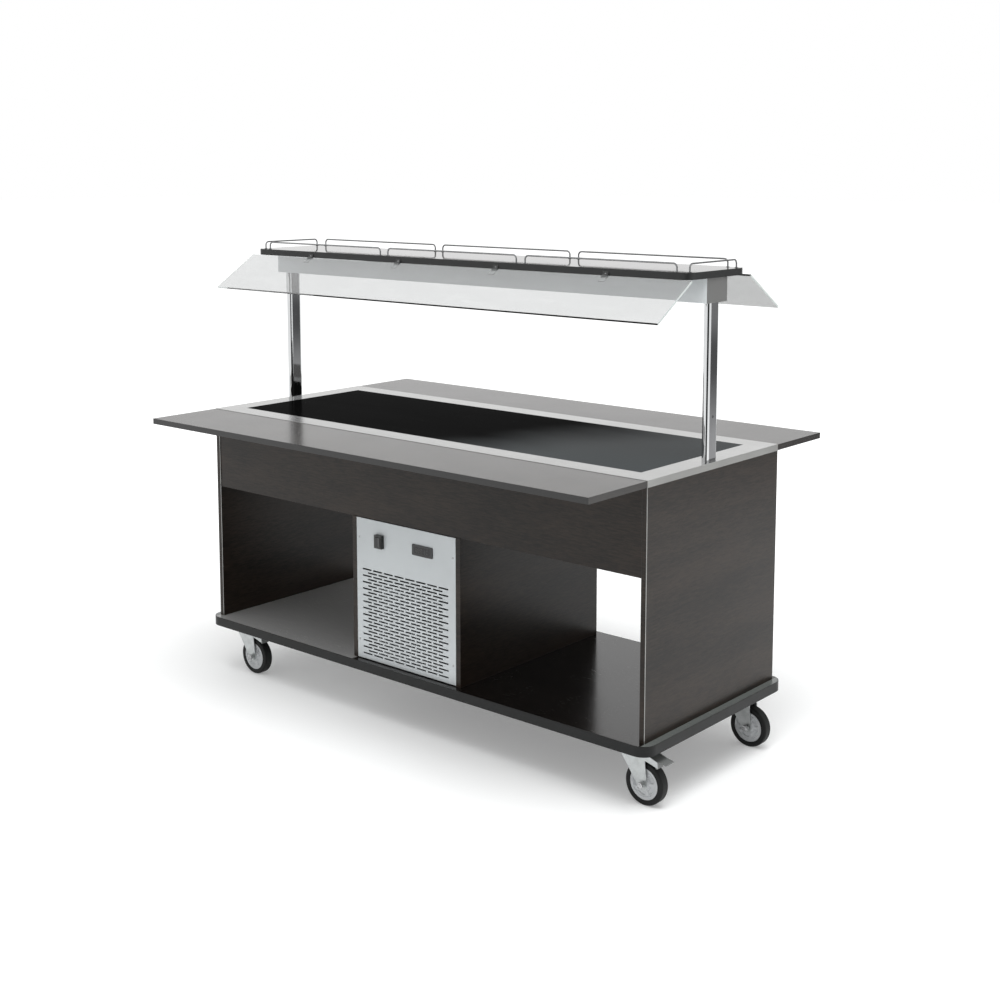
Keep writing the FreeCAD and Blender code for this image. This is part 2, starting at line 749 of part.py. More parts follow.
# ---------------------------------------------------------------- columns and canopy
def make_columns():
    wall = S.column_wall
    for side, name in ((-1, "column_left"), (1, "column_right")):
        body = new_body(name)
        sketch = sketch_on(body, "XY_Plane", name + "_section", S.counter_height)
        x = COLUMN_X * side
        stadium(sketch, S.column_width / 2, S.column_depth / 2, x)
        stadium(sketch, S.column_width / 2 - wall, S.column_depth / 2 - wall, x)
        pad(body, sketch, S.lamp_bottom - S.counter_height)
        node(name, body)


def make_column_sockets():
    """A block behind each end panel with a spigot that reaches into the column."""
    sockets = []
    for side, name in ((-1, "socket_left"), (1, "socket_right")):
        inner = PANEL_INSIDE - S.column_width - S.column_wall * 2
        x = (inner, PANEL_INSIDE) if side > 0 else (-PANEL_INSIDE, -inner)
        low = SKIN_UNDER - S.socket_drop
        y = both(S.column_depth / 2 + S.column_wall * 2)
        seat = block(name + "_seat", x, y, (low, SKIN_UNDER))
        body = new_body(name + "_spigot")
        sketch = sketch_on(body, "XY_Plane", name + "_section", SKIN_UNDER)
        stadium(sketch, SPIGOT_HALF_X, SPIGOT_HALF_Y, COLUMN_X * side)
        pad(body, sketch, S.spigot_height)
        sockets.append(fuse(name, seat, body))
    node("column_sockets", together("column_sockets", *sockets))


def make_lamp_housing():
    """A long shallow channel, open below, with an opal diffuser let into it."""
    half_x = HALF_LENGTH - S.lamp_overhang
    half_y = S.lamp_depth / 2
    low = S.lamp_bottom
    wall = S.lamp_wall
    case = block("lamp_case", both(half_x), both(half_y), (low, LAMP_TOP))
    light_x = COLUMN_X - S.column_width
    rebate_x = both(light_x)
    rebate_y = both(half_y - wall)
    rebate = block("lamp_rebate", rebate_x, rebate_y, (low, low + wall))
    cavity_z = (low + wall, LAMP_TOP - wall)
    cavity = block(
        "lamp_cavity", both(light_x - wall), both(half_y - wall * 2), cavity_z
    )
    node("lamp_housing", cut("lamp_housing", case, rebate, cavity))
    gap = S.glass_gap
    diffuser_z = (low + wall - S.diffuser_thickness, low + wall)
    diffuser = block(
        "lamp_diffuser", both(light_x - gap), both(half_y - wall - gap), diffuser_z
    )
    node("lamp_diffuser", diffuser)


def make_canopy():
    board, band = edged_board(
        "canopy", CANOPY_HALF * 2, S.canopy_depth, S.canopy_corner, LAMP_TOP,
        S.canopy_thickness,
    )
    node("canopy_board", board)
    node("canopy_edging", band)


def bent_rail(name, length):
    """A wire stirrup with its feet on Z = 0 and its length along X."""
    half = length / 2
    bend = S.rail_bend
    top = S.rail_height - S.rail_wire / 2
    body = new_body(name)
    path = sketch_on(body, "XZ_Plane", name + "_path")
    corners = [
        (-half, 0), (-half, top - bend), (-half + bend, top),
        (half - bend, top), (half, top - bend), (half, 0),
    ]
    arcs = {
        1: (-half + bend, top - bend, bend),
        3: (half - bend, top - bend, bend),
    }
    outline(path, corners, arcs, closed=False)
    section = sketch_on(body, "XY_Plane", name + "_section")
    circle(section, -half, 0, S.rail_wire / 2)
    pipe = body.newObject("PartDesign::AdditivePipe", "Pipe")
    pipe.Profile = section
    pipe.Spine = (path, [f"Edge{number + 1}" for number in range(path.GeometryCount)])
    return body


def make_gallery_rails():
    """Three stirrups along each long side of the canopy and one across each end."""
    run = (CANOPY_HALF - S.rail_end_inset) * 2
    length = (run - S.rail_gap * 2) / 3
    pitch = length + S.rail_gap
    y = S.canopy_depth / 2 - S.rail_inset
    x = CANOPY_HALF - S.rail_inset
    rails = []
    for side, word in ((-1, "front"), (1, "rear")):
        for place_number in (-1, 0, 1):
            rail = bent_rail(f"rail_{word}_{place_number + 2}", length)
            rails.append(place(rail, pitch * place_number, y * side, CANOPY_TOP))
    for side, word in ((-1, "left"), (1, "right")):
        rail = bent_rail(f"rail_{word}", S.end_rail_length - S.rail_inset * 2)
        rail.Placement = FreeCAD.Placement(
            FreeCAD.Vector(), FreeCAD.Rotation(FreeCAD.Vector(0, 0, 1), 90)
        )
        rails.append(place(rail, x * side, 0, CANOPY_TOP))
    node("gallery_rails", together("gallery_rails", *rails))


# ---------------------------------------------------------------- guard panes
PANE_WIDTH = root(S.pane_drop * S.pane_drop + S.pane_reach * S.pane_reach)
ALONG_Y = S.pane_reach / PANE_WIDTH
ALONG_Z = -S.pane_drop / PANE_WIDTH


def pane_point(along, out):
    """A point given along the slope of the pane and out from its middle plane."""
    start_y = S.canopy_depth / 2 + S.pane_start
    start_z = LAMP_TOP - S.pane_below
    y = start_y + ALONG_Y * along - ALONG_Z * out
    z = start_z + ALONG_Z * along + ALONG_Y * out
    return y, z


def mirrored(corners, side):
    """The corners on the +Y side, or the same ones on the -Y side."""
    if side > 0:
        return corners
    return [(-y, z) for y, z in reversed(corners)]


CLIPS = 4


def make_guards():
    """A pane along each long side, held under the canopy by bent clips."""
    thick = S.pane_thickness / 2
    sheet_size = S.clip_sheet
    pane = [
        pane_point(0, -thick), pane_point(PANE_WIDTH, -thick),
        pane_point(PANE_WIDTH, thick), pane_point(0, thick),
    ]
    edge = S.canopy_depth / 2
    back = -S.clip_back
    strap_z = (LAMP_TOP - S.strap_drop, LAMP_TOP + S.clip_rise)
    strap = rectangle((edge, edge + sheet_size), strap_z)
    jaw = [
        pane_point(back, -thick - sheet_size), pane_point(S.clip_grip, -thick - sheet_size),
        pane_point(S.clip_grip, -thick), pane_point(back, -thick),
    ]
    lip = [
        pane_point(back, thick), pane_point(S.clip_lip, thick),
        pane_point(S.clip_lip, thick + sheet_size), pane_point(back, thick + sheet_size),
    ]
    pitch = (CANOPY_HALF - S.clip_inset) * 2 / (CLIPS - 1)
    clips = []
    for side, word in ((-1, "front"), (1, "rear")):
        name = f"guard_glass_{word}"
        x = both(CANOPY_HALF + S.pane_overhang)
        node(name, prism(name, "YZ_Plane", mirrored(pane, side), x))
        for number in range(CLIPS):
            middle = pitch * (number - (CLIPS - 1) / 2)
            x = around(middle, S.clip_width)
            pieces = []
            for part, corners in (("strap", strap), ("jaw", jaw), ("lip", lip)):
                tag = f"clip_{word}_{number}_{part}"
                pieces.append(prism(tag, "YZ_Plane", mirrored(corners, side), x))
            clips.append(fuse(f"clip_{word}_{number}", *pieces))
    node("guard_clips", together("guard_clips", *clips))


# ---------------------------------------------------------------- folding shelves
SHELF_TOP = S.counter_height - S.shelf_step
SHELF_UNDER = SHELF_TOP - S.board_thickness
HINGE_Y = HALF_DEPTH + S.hinge_out
HINGE_Z = SHELF_UNDER - S.hinge_down


def make_shelf(side, word):
    """A shelf leaf and the three hinge arms screwed under it."""
    near = HALF_DEPTH + S.shelf_gap
    far = near + S.shelf_width
    y = (near, far) if side > 0 else (-far, -near)
    leaf = block(f"shelf_{word}", both(HALF_LENGTH), y, (SHELF_UNDER, SHELF_TOP))
    node(f"shelf_{word}", leaf)

    radius = S.hinge_barrel / 2
    arms = []
    for number in (-1, 0, 1):
        tag = f"arm_{word}_{number + 2}"
        x = around(S.hinge_spacing * number, S.arm_width)
        low, high = HINGE_Y, HINGE_Y + S.arm_length
        strip_y = (low, high) if side > 0 else (-high, -low)
        arm_low = SHELF_UNDER - S.arm_thickness
        strip = block(tag + "_strip", x, strip_y, (arm_low, SHELF_UNDER))
        neck_y = (HINGE_Y, HINGE_Y + radius) if side > 0 else (-HINGE_Y - radius, -HINGE_Y)
        neck = block(tag + "_neck", x, neck_y, (HINGE_Z, arm_low))
        barrel = rod(tag + "_barrel", "x", radius, x, y=HINGE_Y * side, z=HINGE_Z)
        bore = S.hinge_pin / 2 + S.hinge_fit
        hole = rod(tag + "_bore", "x", bore, x, y=HINGE_Y * side, z=HINGE_Z)
        arms.append(cut(tag, fuse(tag + "_solid", strip, neck, barrel), hole))
    node(f"shelf_arms_{word}", together(f"shelf_arms_{word}", *arms))


def make_hinge_plates():
    """Fixed plates on the aprons, each with two lugs and the pin between them."""
    radius = S.hinge_barrel / 2
    face = APRON_FACE
    front = face + S.hinge_plate_thickness
    top = HINGE_Z + radius - 2
    plates = []
    for side, word in ((-1, "front"), (1, "rear")):
        for number in (-1, 0, 1):
            tag = f"hinge_{word}_{number + 2}"
            middle = S.hinge_spacing * number
            x = around(middle, S.hinge_plate_width)
            y = (face, front) if side > 0 else (-front, -face)
            plate = block(tag + "_plate", x, y, (top - S.hinge_plate_height, top))
            pieces = [plate]
            inner = S.arm_width / 2 + S.lug_gap
            outer = inner + S.lug_thickness
            lug_y = (face, HINGE_Y) if side > 0 else (-HINGE_Y, -face)
            for end, span in (("a", (-outer, -inner)), ("b", (inner, outer))):
                lug_x = (span[0] + middle, span[1] + middle)
                root_z = (HINGE_Z - radius, HINGE_Z + radius)
                pieces.append(block(f"{tag}_root_{end}", lug_x, lug_y, root_z))
                pieces.append(
                    rod(f"{tag}_eye_{end}", "x", radius, lug_x, y=HINGE_Y * side, z=HINGE_Z)
                )
            pin_x = around(middle, outer * 2)
            pin = rod(tag + "_pin", "x", S.hinge_pin / 2, pin_x, y=HINGE_Y * side, z=HINGE_Z)
            plates.append(fuse(tag, *pieces, pin))
    node("hinge_plates", together("hinge_plates", *plates))


# ---------------------------------------------------------------- casters
CASTER_X = HALF_LENGTH - S.caster_inset
CASTER_Y = HALF_DEPTH - S.caster_in_depth
AXLE_Z = S.wheel_diameter / 2
FORK_TOP = S.caster_height - S.caster_plate_thickness - S.raceway_height - S.swivel_gap
FORK_HEAD_UNDER = FORK_TOP - S.fork_head_thickness
FORK_HALF = S.fork_inside / 2 + S.fork_sheet
CASTERS = [
    ("front_left", -1, -1, True), ("front_right", 1, -1, True),
    ("rear_left", -1, 1, False), ("rear_right", 1, 1, False),
]
PEDAL_X = S.wheel_trail + S.pedal_out
PEDAL_Z = FORK_TOP - S.pedal_drop


def caster_top(name):
    """Bolt-on plate, raceway cup, king pin and nut: everything that stays still."""
    top = S.caster_height
    plate_low = top - S.caster_plate_thickness
    cup_low = plate_low - S.raceway_height
    half_x = S.caster_plate_length / 2
    half_y = S.caster_plate_width / 2
    plate = block(name + "_plate", both(half_x), both(half_y), (plate_low, top))
    cup = rod(name + "_cup", "z", S.raceway_diameter / 2, (cup_low, plate_low))
    nut_high = FORK_HEAD_UNDER - S.swivel_gap
    nut_low = nut_high - S.king_pin / 2
    pin = rod(name + "_king_pin", "z", S.king_pin / 2, (nut_low, cup_low))
    nut = rod(name + "_nut", "z", S.king_nut / 2, (nut_low, nut_high))
    bolts = []
    for number, (side_x, side_y) in enumerate(((-1, -1), (1, -1), (-1, 1), (1, 1))):
        x = (half_x - S.plate_bolt_inset) * side_x
        y = (half_y - S.plate_bolt_inset) * side_y
        head = new_body(f"{name}_bolt_{number}")
        bolt_low = plate_low - S.plate_bolt_head
        sketch = sketch_on(head, "XY_Plane", f"{name}_bolt_{number}_hexagon", bolt_low)
        across = S.plate_bolt_flats / math.sqrt(3)
        hexagon = []
        for corner in range(6):
            angle = math.radians(60 * corner)
            hexagon.append((x + across * math.cos(angle), y + across * math.sin(angle)))
        outline(sketch, hexagon)
        pad(head, sketch, S.plate_bolt_head)
        bolts.append(head)
    return fuse(name, plate, cup, pin, nut, *bolts)


def fork_outline(braked):
    """Side plate of the fork: wide at the swivel head, round at the axle."""
    half_head = S.fork_head / 2
    trail = S.wheel_trail
    end = S.fork_end
    lead = -half_head + S.fork_lead
    left_top = (lead, FORK_TOP - S.fork_skirt)
    right_root = (trail + S.fork_root_out, FORK_TOP - S.fork_root_drop)
    left = tangent_point(*left_top, trail, AXLE_Z, end, 1)
    right = tangent_point(*right_root, trail, AXLE_Z, end, -1)
    corners = [right, right_root]
    if braked:
        corners += [
            (PEDAL_X + S.ear_reach, PEDAL_Z - S.ear_drop),
            (PEDAL_X + S.ear_rise, PEDAL_Z + S.ear_rise),
        ]
    corners += [(half_head, FORK_TOP), (lead, FORK_TOP), left_top, left]
    return corners, {len(corners) - 1: (trail, AXLE_Z, end)}


def make_fork(name, braked):
    body = new_body(name + "_pressing")
    sketch = sketch_on(body, "XZ_Plane", name + "_side")
    corners, arcs = fork_outline(braked)
    outline(sketch, corners, arcs)
    pad(body, sketch, FORK_HALF * 2, symmetric=True)
    sketch = sketch_on(body, "XZ_Plane", name + "_inside")
    reach = S.wheel_diameter
    outline(sketch, rectangle((-reach, reach + S.wheel_trail), (0, FORK_HEAD_UNDER)))
    pocket(body, sketch, S.fork_inside, symmetric=True)
    sketch = sketch_on(body, "XY_Plane", name + "_head", FORK_HEAD_UNDER)
    circle(sketch, 0, 0, S.fork_head / 2)
    pad(body, sketch, S.fork_head_thickness)
    sketch = sketch_on(body, "XY_Plane", name + "_king_hole", FORK_TOP)
    circle(sketch, 0, 0, S.king_pin / 2 + S.running_fit)
    pocket(body, sketch, S.fork_head_thickness)

    trail = S.wheel_trail
    pieces = [body]
    across = FORK_HALF + S.axle_diameter / 2
    pieces.append(
        rod(name + "_axle", "y", S.axle_diameter / 2, both(across), x=trail, z=AXLE_Z)
    )
    for side, word in ((-1, "near"), (1, "far")):
        span = (FORK_HALF * side, across * side)
        span = span if side > 0 else (span[1], span[0])
        tag = f"{name}_axle_nut_{word}"
        pieces.append(rod(tag, "y", S.axle_nut / 2, span, x=trail, z=AXLE_Z))
    if braked:
        pin_radius = S.pedal_pivot / 2
        pieces.append(
            rod(name + "_pedal_pin", "y", pin_radius, both(FORK_HALF), x=PEDAL_X, z=PEDAL_Z)
        )
    return fuse(name, *pieces)


def make_wheel(name):
    """Pressed disc with a thick hub, a thin web and a rim flange."""
    rim = AXLE_Z - S.tyre_thickness
    bore = S.axle_diameter / 2 + S.running_fit
    hub = S.hub_diameter / 2
    half_hub = S.hub_length / 2
    half_web = S.web_width / 2
    half_rim = S.tyre_width / 2 - S.tyre_lap
    lip = rim - S.rim_flange
    hub_edge = hub + S.web_slope
    lip_edge = lip - S.web_slope
    profile = [
        (-half_hub, bore), (half_hub, bore), (half_hub, hub), (half_web, hub_edge),
        (half_web, lip_edge), (half_rim, lip), (half_rim, rim), (-half_rim, rim),
        (-half_rim, lip), (-half_web, lip_edge), (-half_web, hub_edge), (-half_hub, hub),
    ]
    return turned(name, profile, "YZ_Plane", "H_Axis")


def make_tyre(name):
    rim = AXLE_Z - S.tyre_thickness
    half = S.tyre_width / 2
    edge = S.tyre_shoulder
    profile = [
        (-half, rim), (half, rim), (half, AXLE_Z - edge), (half - edge, AXLE_Z),
        (-half + edge, AXLE_Z), (-half, AXLE_Z - edge),
    ]
    arcs = {
        2: (half - edge, AXLE_Z - edge, edge),
        4: (-half + edge, AXLE_Z - edge, edge),
    }
    return turned(name, profile, "YZ_Plane", "H_Axis", arcs)


def make_pedal(name):
    """Brake pedal: a tread plate, a round hub on the pivot and a short shoe."""
    half = S.pedal_width / 2
    x, z = PEDAL_X, PEDAL_Z
    thick = S.pedal_thickness
    back, high = x - S.tread_back, z + S.tread_high
    front, low = x + S.tread_reach, z + S.tread_low
    tread = [(back, high), (front, low), (front, low + thick), (back, high + thick)]
    radius = S.pedal_pivot / 2 + S.pedal_hub_wall
    rib = S.pedal_web / 2
    rise = z + S.pedal_web_rise
    slope = S.pedal_web_slope
    web = [(x - rib, z), (x + rib, z), (x + rib, rise), (x - rib, rise + slope)]
    lean, foot = S.shoe_lean, z - S.shoe_drop
    shoe = [
        (x + lean, foot), (x + lean + S.shoe_tip, foot + lean),
        (x + S.shoe_root, z), (x - S.shoe_root, z),
    ]
    pieces = [
        prism(name + "_tread", "XZ_Plane", tread, both(half)),
        prism(name + "_web", "XZ_Plane", web, both(half / 2)),
        prism(name + "_shoe", "XZ_Plane", shoe, both(S.tyre_width / 2 - S.tyre_lap)),
        rod(name + "_hub", "y", radius, both(half), x=x, z=z),
    ]
    bore = S.pedal_pivot / 2 + S.running_fit
    hole = rod(name + "_bore", "y", bore, both(half), x=x, z=z)
    return cut(name, fuse(name + "_solid", *pieces), hole)


def make_casters():
    tops = []
    for word, side_x, side_y, braked in CASTERS:
        x = CASTER_X * side_x
        y = CASTER_Y * side_y
        tops.append(place(caster_top(f"caster_top_{word}"), x, y))
        fork = make_fork(f"caster_fork_{word}", braked)
        node(f"caster_fork_{word}", place(fork, x, y))
        wheel = make_wheel(f"caster_wheel_{word}")
        node(f"caster_wheel_{word}", place(wheel, x + S.wheel_trail, y, AXLE_Z))
        tyre = make_tyre(f"caster_tyre_{word}")
        node(f"caster_tyre_{word}", place(tyre, x + S.wheel_trail, y, AXLE_Z))
        if braked:
            pedal = make_pedal(f"brake_pedal_{word}")
            node(f"brake_pedal_{word}", place(pedal, x, y))
    node("caster_plates", together("caster_plates", *tops))


# ---------------------------------------------------------------- cooling machine
MACHINE_FLOOR = BASE_TOP + S.sheet_thickness
CONDENSER_FRONT = -HALF_DEPTH + S.sheet_thickness + S.condenser_back
CONDENSER_REAR = CONDENSER_FRONT + S.condenser_depth
SHROUD_REAR = CONDENSER_REAR + S.shroud_depth
FAN_Z = MACHINE_FLOOR + S.condenser_height / 2


def make_unit_base():
    wall = S.sheet_thickness
    half_x = S.unit_tray_length / 2
    half_y = HALF_DEPTH - wall - S.unit_tray_gap
    rim = S.unit_tray_rim
    tray = block("tray_outside", both(half_x), both(half_y), (BASE_TOP, BASE_TOP + rim))
    hollow = block(
        "tray_inside", both(half_x - wall), both(half_y - wall), (MACHINE_FLOOR, BASE_TOP + rim)
    )
    node("unit_base", cut("unit_base", tray, hollow))


def make_compressor():
    """A welded can with a domed top, standing on a flat foot plate."""
    radius = S.compressor_diameter / 2
    foot = S.compressor_foot
    corner = S.compressor_corner
    low = MACHINE_FLOOR + foot
    high = MACHINE_FLOOR + S.compressor_height
    profile = [(0, low), (radius, low), (radius, high - corner), (radius - corner, high), (0, high)]
    arcs = {2: (radius - corner, high - corner, corner)}
    can = turned("compressor_can", profile, "XZ_Plane", "V_Axis", arcs)
    out = S.compressor_foot_out
    plate = block(
        "compressor_feet", both(radius + out), both(radius - out), (MACHINE_FLOOR, low)
    )
    node("compressor", place(fuse("compressor", can, plate), 0, S.compressor_back))


CONDENSER_TUBES = 5


def make_condenser():
    """Upright fins side by side, with a column of tubes through them all."""
    half = S.condenser_length / 2
    y = (CONDENSER_FRONT, CONDENSER_REAR)
    z = (MACHINE_FLOOR, MACHINE_FLOOR + S.condenser_height)
    body = new_body("condenser_fins")
    sketch = sketch_on(body, "YZ_Plane", "fin_outline", -half)
    outline(sketch, rectangle(y, z))
    fin = pad(body, sketch, S.fin_thickness)
    pitch = (S.condenser_length - S.fin_thickness) / (S.fin_count - 1)
    pattern = body.newObject("PartDesign::LinearPattern", "Fins")
    pattern.Originals = [fin]
    pattern.Direction = (sketch, ["N_Axis"])
    pattern.Mode = "Spacing"
    bind(pattern, "Offset", pitch)
    bind(pattern, "Occurrences", S.fin_count)
    body.Tip = pattern
    tubes = []
    for row in range(CONDENSER_TUBES):
        level = S.condenser_height * ((row + 0.5) / CONDENSER_TUBES) + MACHINE_FLOOR
        middle = (CONDENSER_FRONT + CONDENSER_REAR) / 2
        tubes.append(
            rod(f"condenser_tube_{row}", "x", S.coil_tube / 2, both(half), y=middle, z=level)
        )
    node("condenser_coil", fuse("condenser_coil", body, *tubes))


def make_fan():
    """Shroud with a round mouth, motor on two arms and a five-bladed fan."""
    half = S.condenser_length / 2
    y = (CONDENSER_REAR, SHROUD_REAR)
    z = (MACHINE_FLOOR, MACHINE_FLOOR + S.condenser_height)
    panel = block("shroud_panel", both(half), y, z)
    mouth_radius = S.fan_diameter / 2 + S.fan_tip_gap
    mouth = rod("shroud_mouth", "y", mouth_radius, y, z=FAN_Z)
    node("fan_shroud", cut("fan_shroud", panel, mouth))

    motor_front = SHROUD_REAR + S.motor_arm
    motor_rear = motor_front + S.motor_length
    can = rod("motor_can", "y", S.motor_diameter / 2, (motor_front, motor_rear), z=FAN_Z)
    fan_front = (CONDENSER_REAR + SHROUD_REAR) / 2 - S.fan_blade_depth / 2
    shaft = rod("motor_shaft", "y", S.fan_shaft / 2, (fan_front, motor_front), z=FAN_Z)
    arm_half = S.motor_arm / 2
    arm_y = (SHROUD_REAR, motor_front + S.motor_arm)
    pieces = [can, shaft]
    for side, word in ((-1, "left"), (1, "right")):
        inner, outer = S.motor_diameter / 2 - S.motor_arm_lap, half
        x = (inner, outer) if side > 0 else (-outer, -inner)
        bar_y = (motor_front, motor_front + S.motor_arm)
        pieces.append(block(f"arm_{word}", x, bar_y, around(FAN_Z, arm_half * 2)))
        foot_x = (half - S.motor_arm, half) if side > 0 else (-half, -half + S.motor_arm)
        pieces.append(block(f"arm_foot_{word}", foot_x, arm_y, around(FAN_Z, arm_half * 2)))
    node("fan_motor", fuse("fan_motor", *pieces))

    body = new_body("fan_wheel")
    hub = S.fan_hub / 2
    sketch = sketch_on(body, "XZ_Plane", "fan_hub_outline", S.fan_blade_depth / -2)
    circle(sketch, 0, 0, hub)
    circle(sketch, 0, 0, S.fan_shaft / 2 + S.running_fit)
    pad(body, sketch, S.fan_blade_depth)
    tip = S.fan_diameter / 2
    low = S.fan_blade_depth / 2
    blade = sketch_on(body, "YZ_Plane", "fan_blade_root", hub - S.fan_blade_root)
    wide = S.fan_blade_width / 2
    thick = S.fan_blade_thickness
    corners = [(-low, -wide), (-low + thick, -wide), (low, wide), (low - thick, wide)]
    outline(blade, corners)
    feature = pad(body, blade, tip - S.fan_blade_inset - hub + S.fan_blade_root)
    axis = [part for part in body.Origin.OriginFeatures if part.Role == "Y_Axis"][0]
    pattern = body.newObject("PartDesign::PolarPattern", "Blades")
    pattern.Originals = [feature]
    pattern.Axis = (axis, [""])
    pattern.Angle = 360
    bind(pattern, "Occurrences", S.fan_blades)
    body.Tip = pattern
    middle = (CONDENSER_REAR + SHROUD_REAR) / 2
    node("fan_blades", place(body, 0, middle, FAN_Z))


def bent_pipe(name, corners, arcs):
    """A tube in the plane through the compressor, drawn in X and Z."""
    body = new_body(name)
    offset = -S.compressor_back
    path = sketch_on(body, "XZ_Plane", name + "_path", offset)
    outline(path, corners, arcs, closed=False)
    section = sketch_on(body, "YZ_Plane", name + "_section", corners[0][0])
    circle(section, S.compressor_back, corners[0][1], S.pipe_diameter / 2)
    pipe = body.newObject("PartDesign::AdditivePipe", "Pipe")
    pipe.Profile = section
    pipe.Spine = (path, [f"Edge{number + 1}" for number in range(path.GeometryCount)])
    return body


def make_pipes():
    """Two lines that rise from the compressor to the pan of the cold top."""
    start = S.compressor_diameter / 2
    bend = S.pipe_bend
    level = MACHINE_FLOOR + S.compressor_height / 2
    top = LIP_UNDER - S.tray_depth
    pipes = []
    for side, word in ((-1, "left"), (1, "right")):
        reach = start + S.pipe_diameter
        corners = [
            (start * side, level), (reach * side, level),
            ((reach + bend) * side, level + bend), ((reach + bend) * side, top),
        ]
        arcs = {1: (reach * side, level + bend, bend)}
        pipes.append(bent_pipe(f"pipe_{word}", corners, arcs))
    node("refrigerant_pipes", together("refrigerant_pipes", *pipes))


# ---------------------------------------------------------------- build
make_base()
make_end_panels()
make_aprons_and_dividers()
make_front_grille()
make_rear_grille()
make_top_frame()
make_cold_well()
make_switch()
make_thermostat()
make_columns()
make_column_sockets()
make_lamp_housing()
make_canopy()
make_gallery_rails()
make_guards()
make_shelf(-1, "front")
make_shelf(1, "rear")
make_hinge_plates()
make_casters()
make_unit_base()
make_compressor()
make_condenser()
make_fan()
make_pipes()
doc.recompute()

failed = [thing.Label for thing in doc.Objects if {"Invalid", "Error"} & set(thing.State)]
failed += [thing.Label for thing in NODES if thing.Shape.isNull() or not thing.Shape.isValid()]
if failed:
    raise RuntimeError(f"these pieces failed: {failed}")

os.makedirs("parts", exist_ok=True)
for thing in NODES:
    thing.Shape.exportStep(f"parts/{thing.Label}.step")
print(f"{len(NODES)} sub-parts written")
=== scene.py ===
import math

import bmesh
import bpy
import numpy as np
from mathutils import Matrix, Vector


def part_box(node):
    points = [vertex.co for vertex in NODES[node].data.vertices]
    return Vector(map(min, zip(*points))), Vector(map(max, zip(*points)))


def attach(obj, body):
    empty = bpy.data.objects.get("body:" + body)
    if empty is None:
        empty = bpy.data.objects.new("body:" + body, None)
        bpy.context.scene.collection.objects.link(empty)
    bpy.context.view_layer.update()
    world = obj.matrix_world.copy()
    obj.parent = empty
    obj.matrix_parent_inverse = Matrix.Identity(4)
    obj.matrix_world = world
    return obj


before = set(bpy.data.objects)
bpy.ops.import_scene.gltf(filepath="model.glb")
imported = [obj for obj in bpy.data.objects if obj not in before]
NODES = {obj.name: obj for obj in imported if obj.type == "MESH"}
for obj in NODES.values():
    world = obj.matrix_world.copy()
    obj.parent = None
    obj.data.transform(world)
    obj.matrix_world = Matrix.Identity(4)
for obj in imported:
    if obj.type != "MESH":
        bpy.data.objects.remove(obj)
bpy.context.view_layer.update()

TAU = 2 * math.pi

# ---------------------------------------------------------------- sizes, in metres
RIM_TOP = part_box("top_frame")[1].z
GLASS_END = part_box("glass_top")[1].x
CANOPY_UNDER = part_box("canopy_board")[0].z
CANOPY_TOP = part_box("canopy_board")[1].z
LAMP_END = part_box("lamp_housing")[1].x
SHELF_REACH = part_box("shelf_rear")[1].y
PANEL_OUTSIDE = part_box("end_panel_right")[1].x
LEFT_FLOOR_END = -0.22
# The fall and the reach of a guard pane, and the width of its ground edges.
PANE_DROP, PANE_REACH = 0.103, 0.1605
PANE_EDGE = 0.0003
# The thickness of a shelf arm, and how far an axle stands out of its fork.
ARM_THICK = 0.004
AXLE_STUB = 0.005
# The rounding of the laminate's edges, and the depth of its print's relief.
BOARD_EDGE = 0.0011
PRINT_RELIEF = 0.00004

# In millimetres along X: the middles of the hinges and of the pane clips.
HINGES = (-650, 0, 650)
CLIPS = (-615, -205, 205, 615)

SIDES = ((-1, "front"), (1, "rear"))
ENDS = ((-1, "left"), (1, "right"))

# ---------------------------------------------------------------- camera
# How far the camera is turned from the grille side and raised, in radians.
YAW, PITCH = 0.7074, 0.1255
back = Vector((
    math.sin(YAW) * math.cos(PITCH),
    -math.cos(YAW) * math.cos(PITCH),
    math.sin(PITCH),
))
camera = bpy.data.objects.new("camera", bpy.data.cameras.new("camera"))
camera.location = (3.10664, -3.52314, 1.76552)
camera.rotation_euler = (-back).to_track_quat("-Z", "Y").to_euler()
camera.data.sensor_width = 36
camera.data.lens = 53.325
camera.data.shift_y = -0.15
camera.data.clip_end = 200
bpy.context.scene.collection.objects.link(camera)
bpy.context.scene.camera = camera
bpy.context.scene.view_settings.view_transform = "Standard"


# ---------------------------------------------------------------- shader maths
class Wire:
    """One output of a node. Arithmetic on it adds Math nodes to the same tree."""

    def __init__(self, tree, socket):
        self.tree, self.socket = tree, socket

    def reckon(self, operation, *terms):
        node = self.tree.nodes.new("ShaderNodeMath")
        node.operation = operation
        for socket, term in zip(node.inputs, terms):
            plug(self.tree, socket, term)
        return Wire(self.tree, node.outputs[0])

    def __add__(self, other):
        return self.reckon("ADD", self, other)

    def __sub__(self, other):
        return self.reckon("SUBTRACT", self, other)

    def __rsub__(self, other):
        return self.reckon("SUBTRACT", other, self)

    def __mul__(self, other):
        return self.reckon("MULTIPLY", self, other)

    def __abs__(self):
        return self.reckon("ABSOLUTE", self)

    __radd__ = __add__

    def over(self, level, soft):
        """0 below level, 1 above level + soft, and a smooth step between them."""
        node = self.tree.nodes.new("ShaderNodeMapRange")
        node.interpolation_type = "SMOOTHSTEP"
        for key, value in (("From Min", level), ("From Max", level + soft), ("Value", self)):
            plug(self.tree, node.inputs[key], value)
        return Wire(self.tree, node.outputs[0])


def plug(tree, socket, value):
    """Link a wire to a socket, or set the socket to a plain value."""
    if isinstance(value, Wire):
        tree.links.new(value.socket, socket)
    else:
        socket.default_value = value


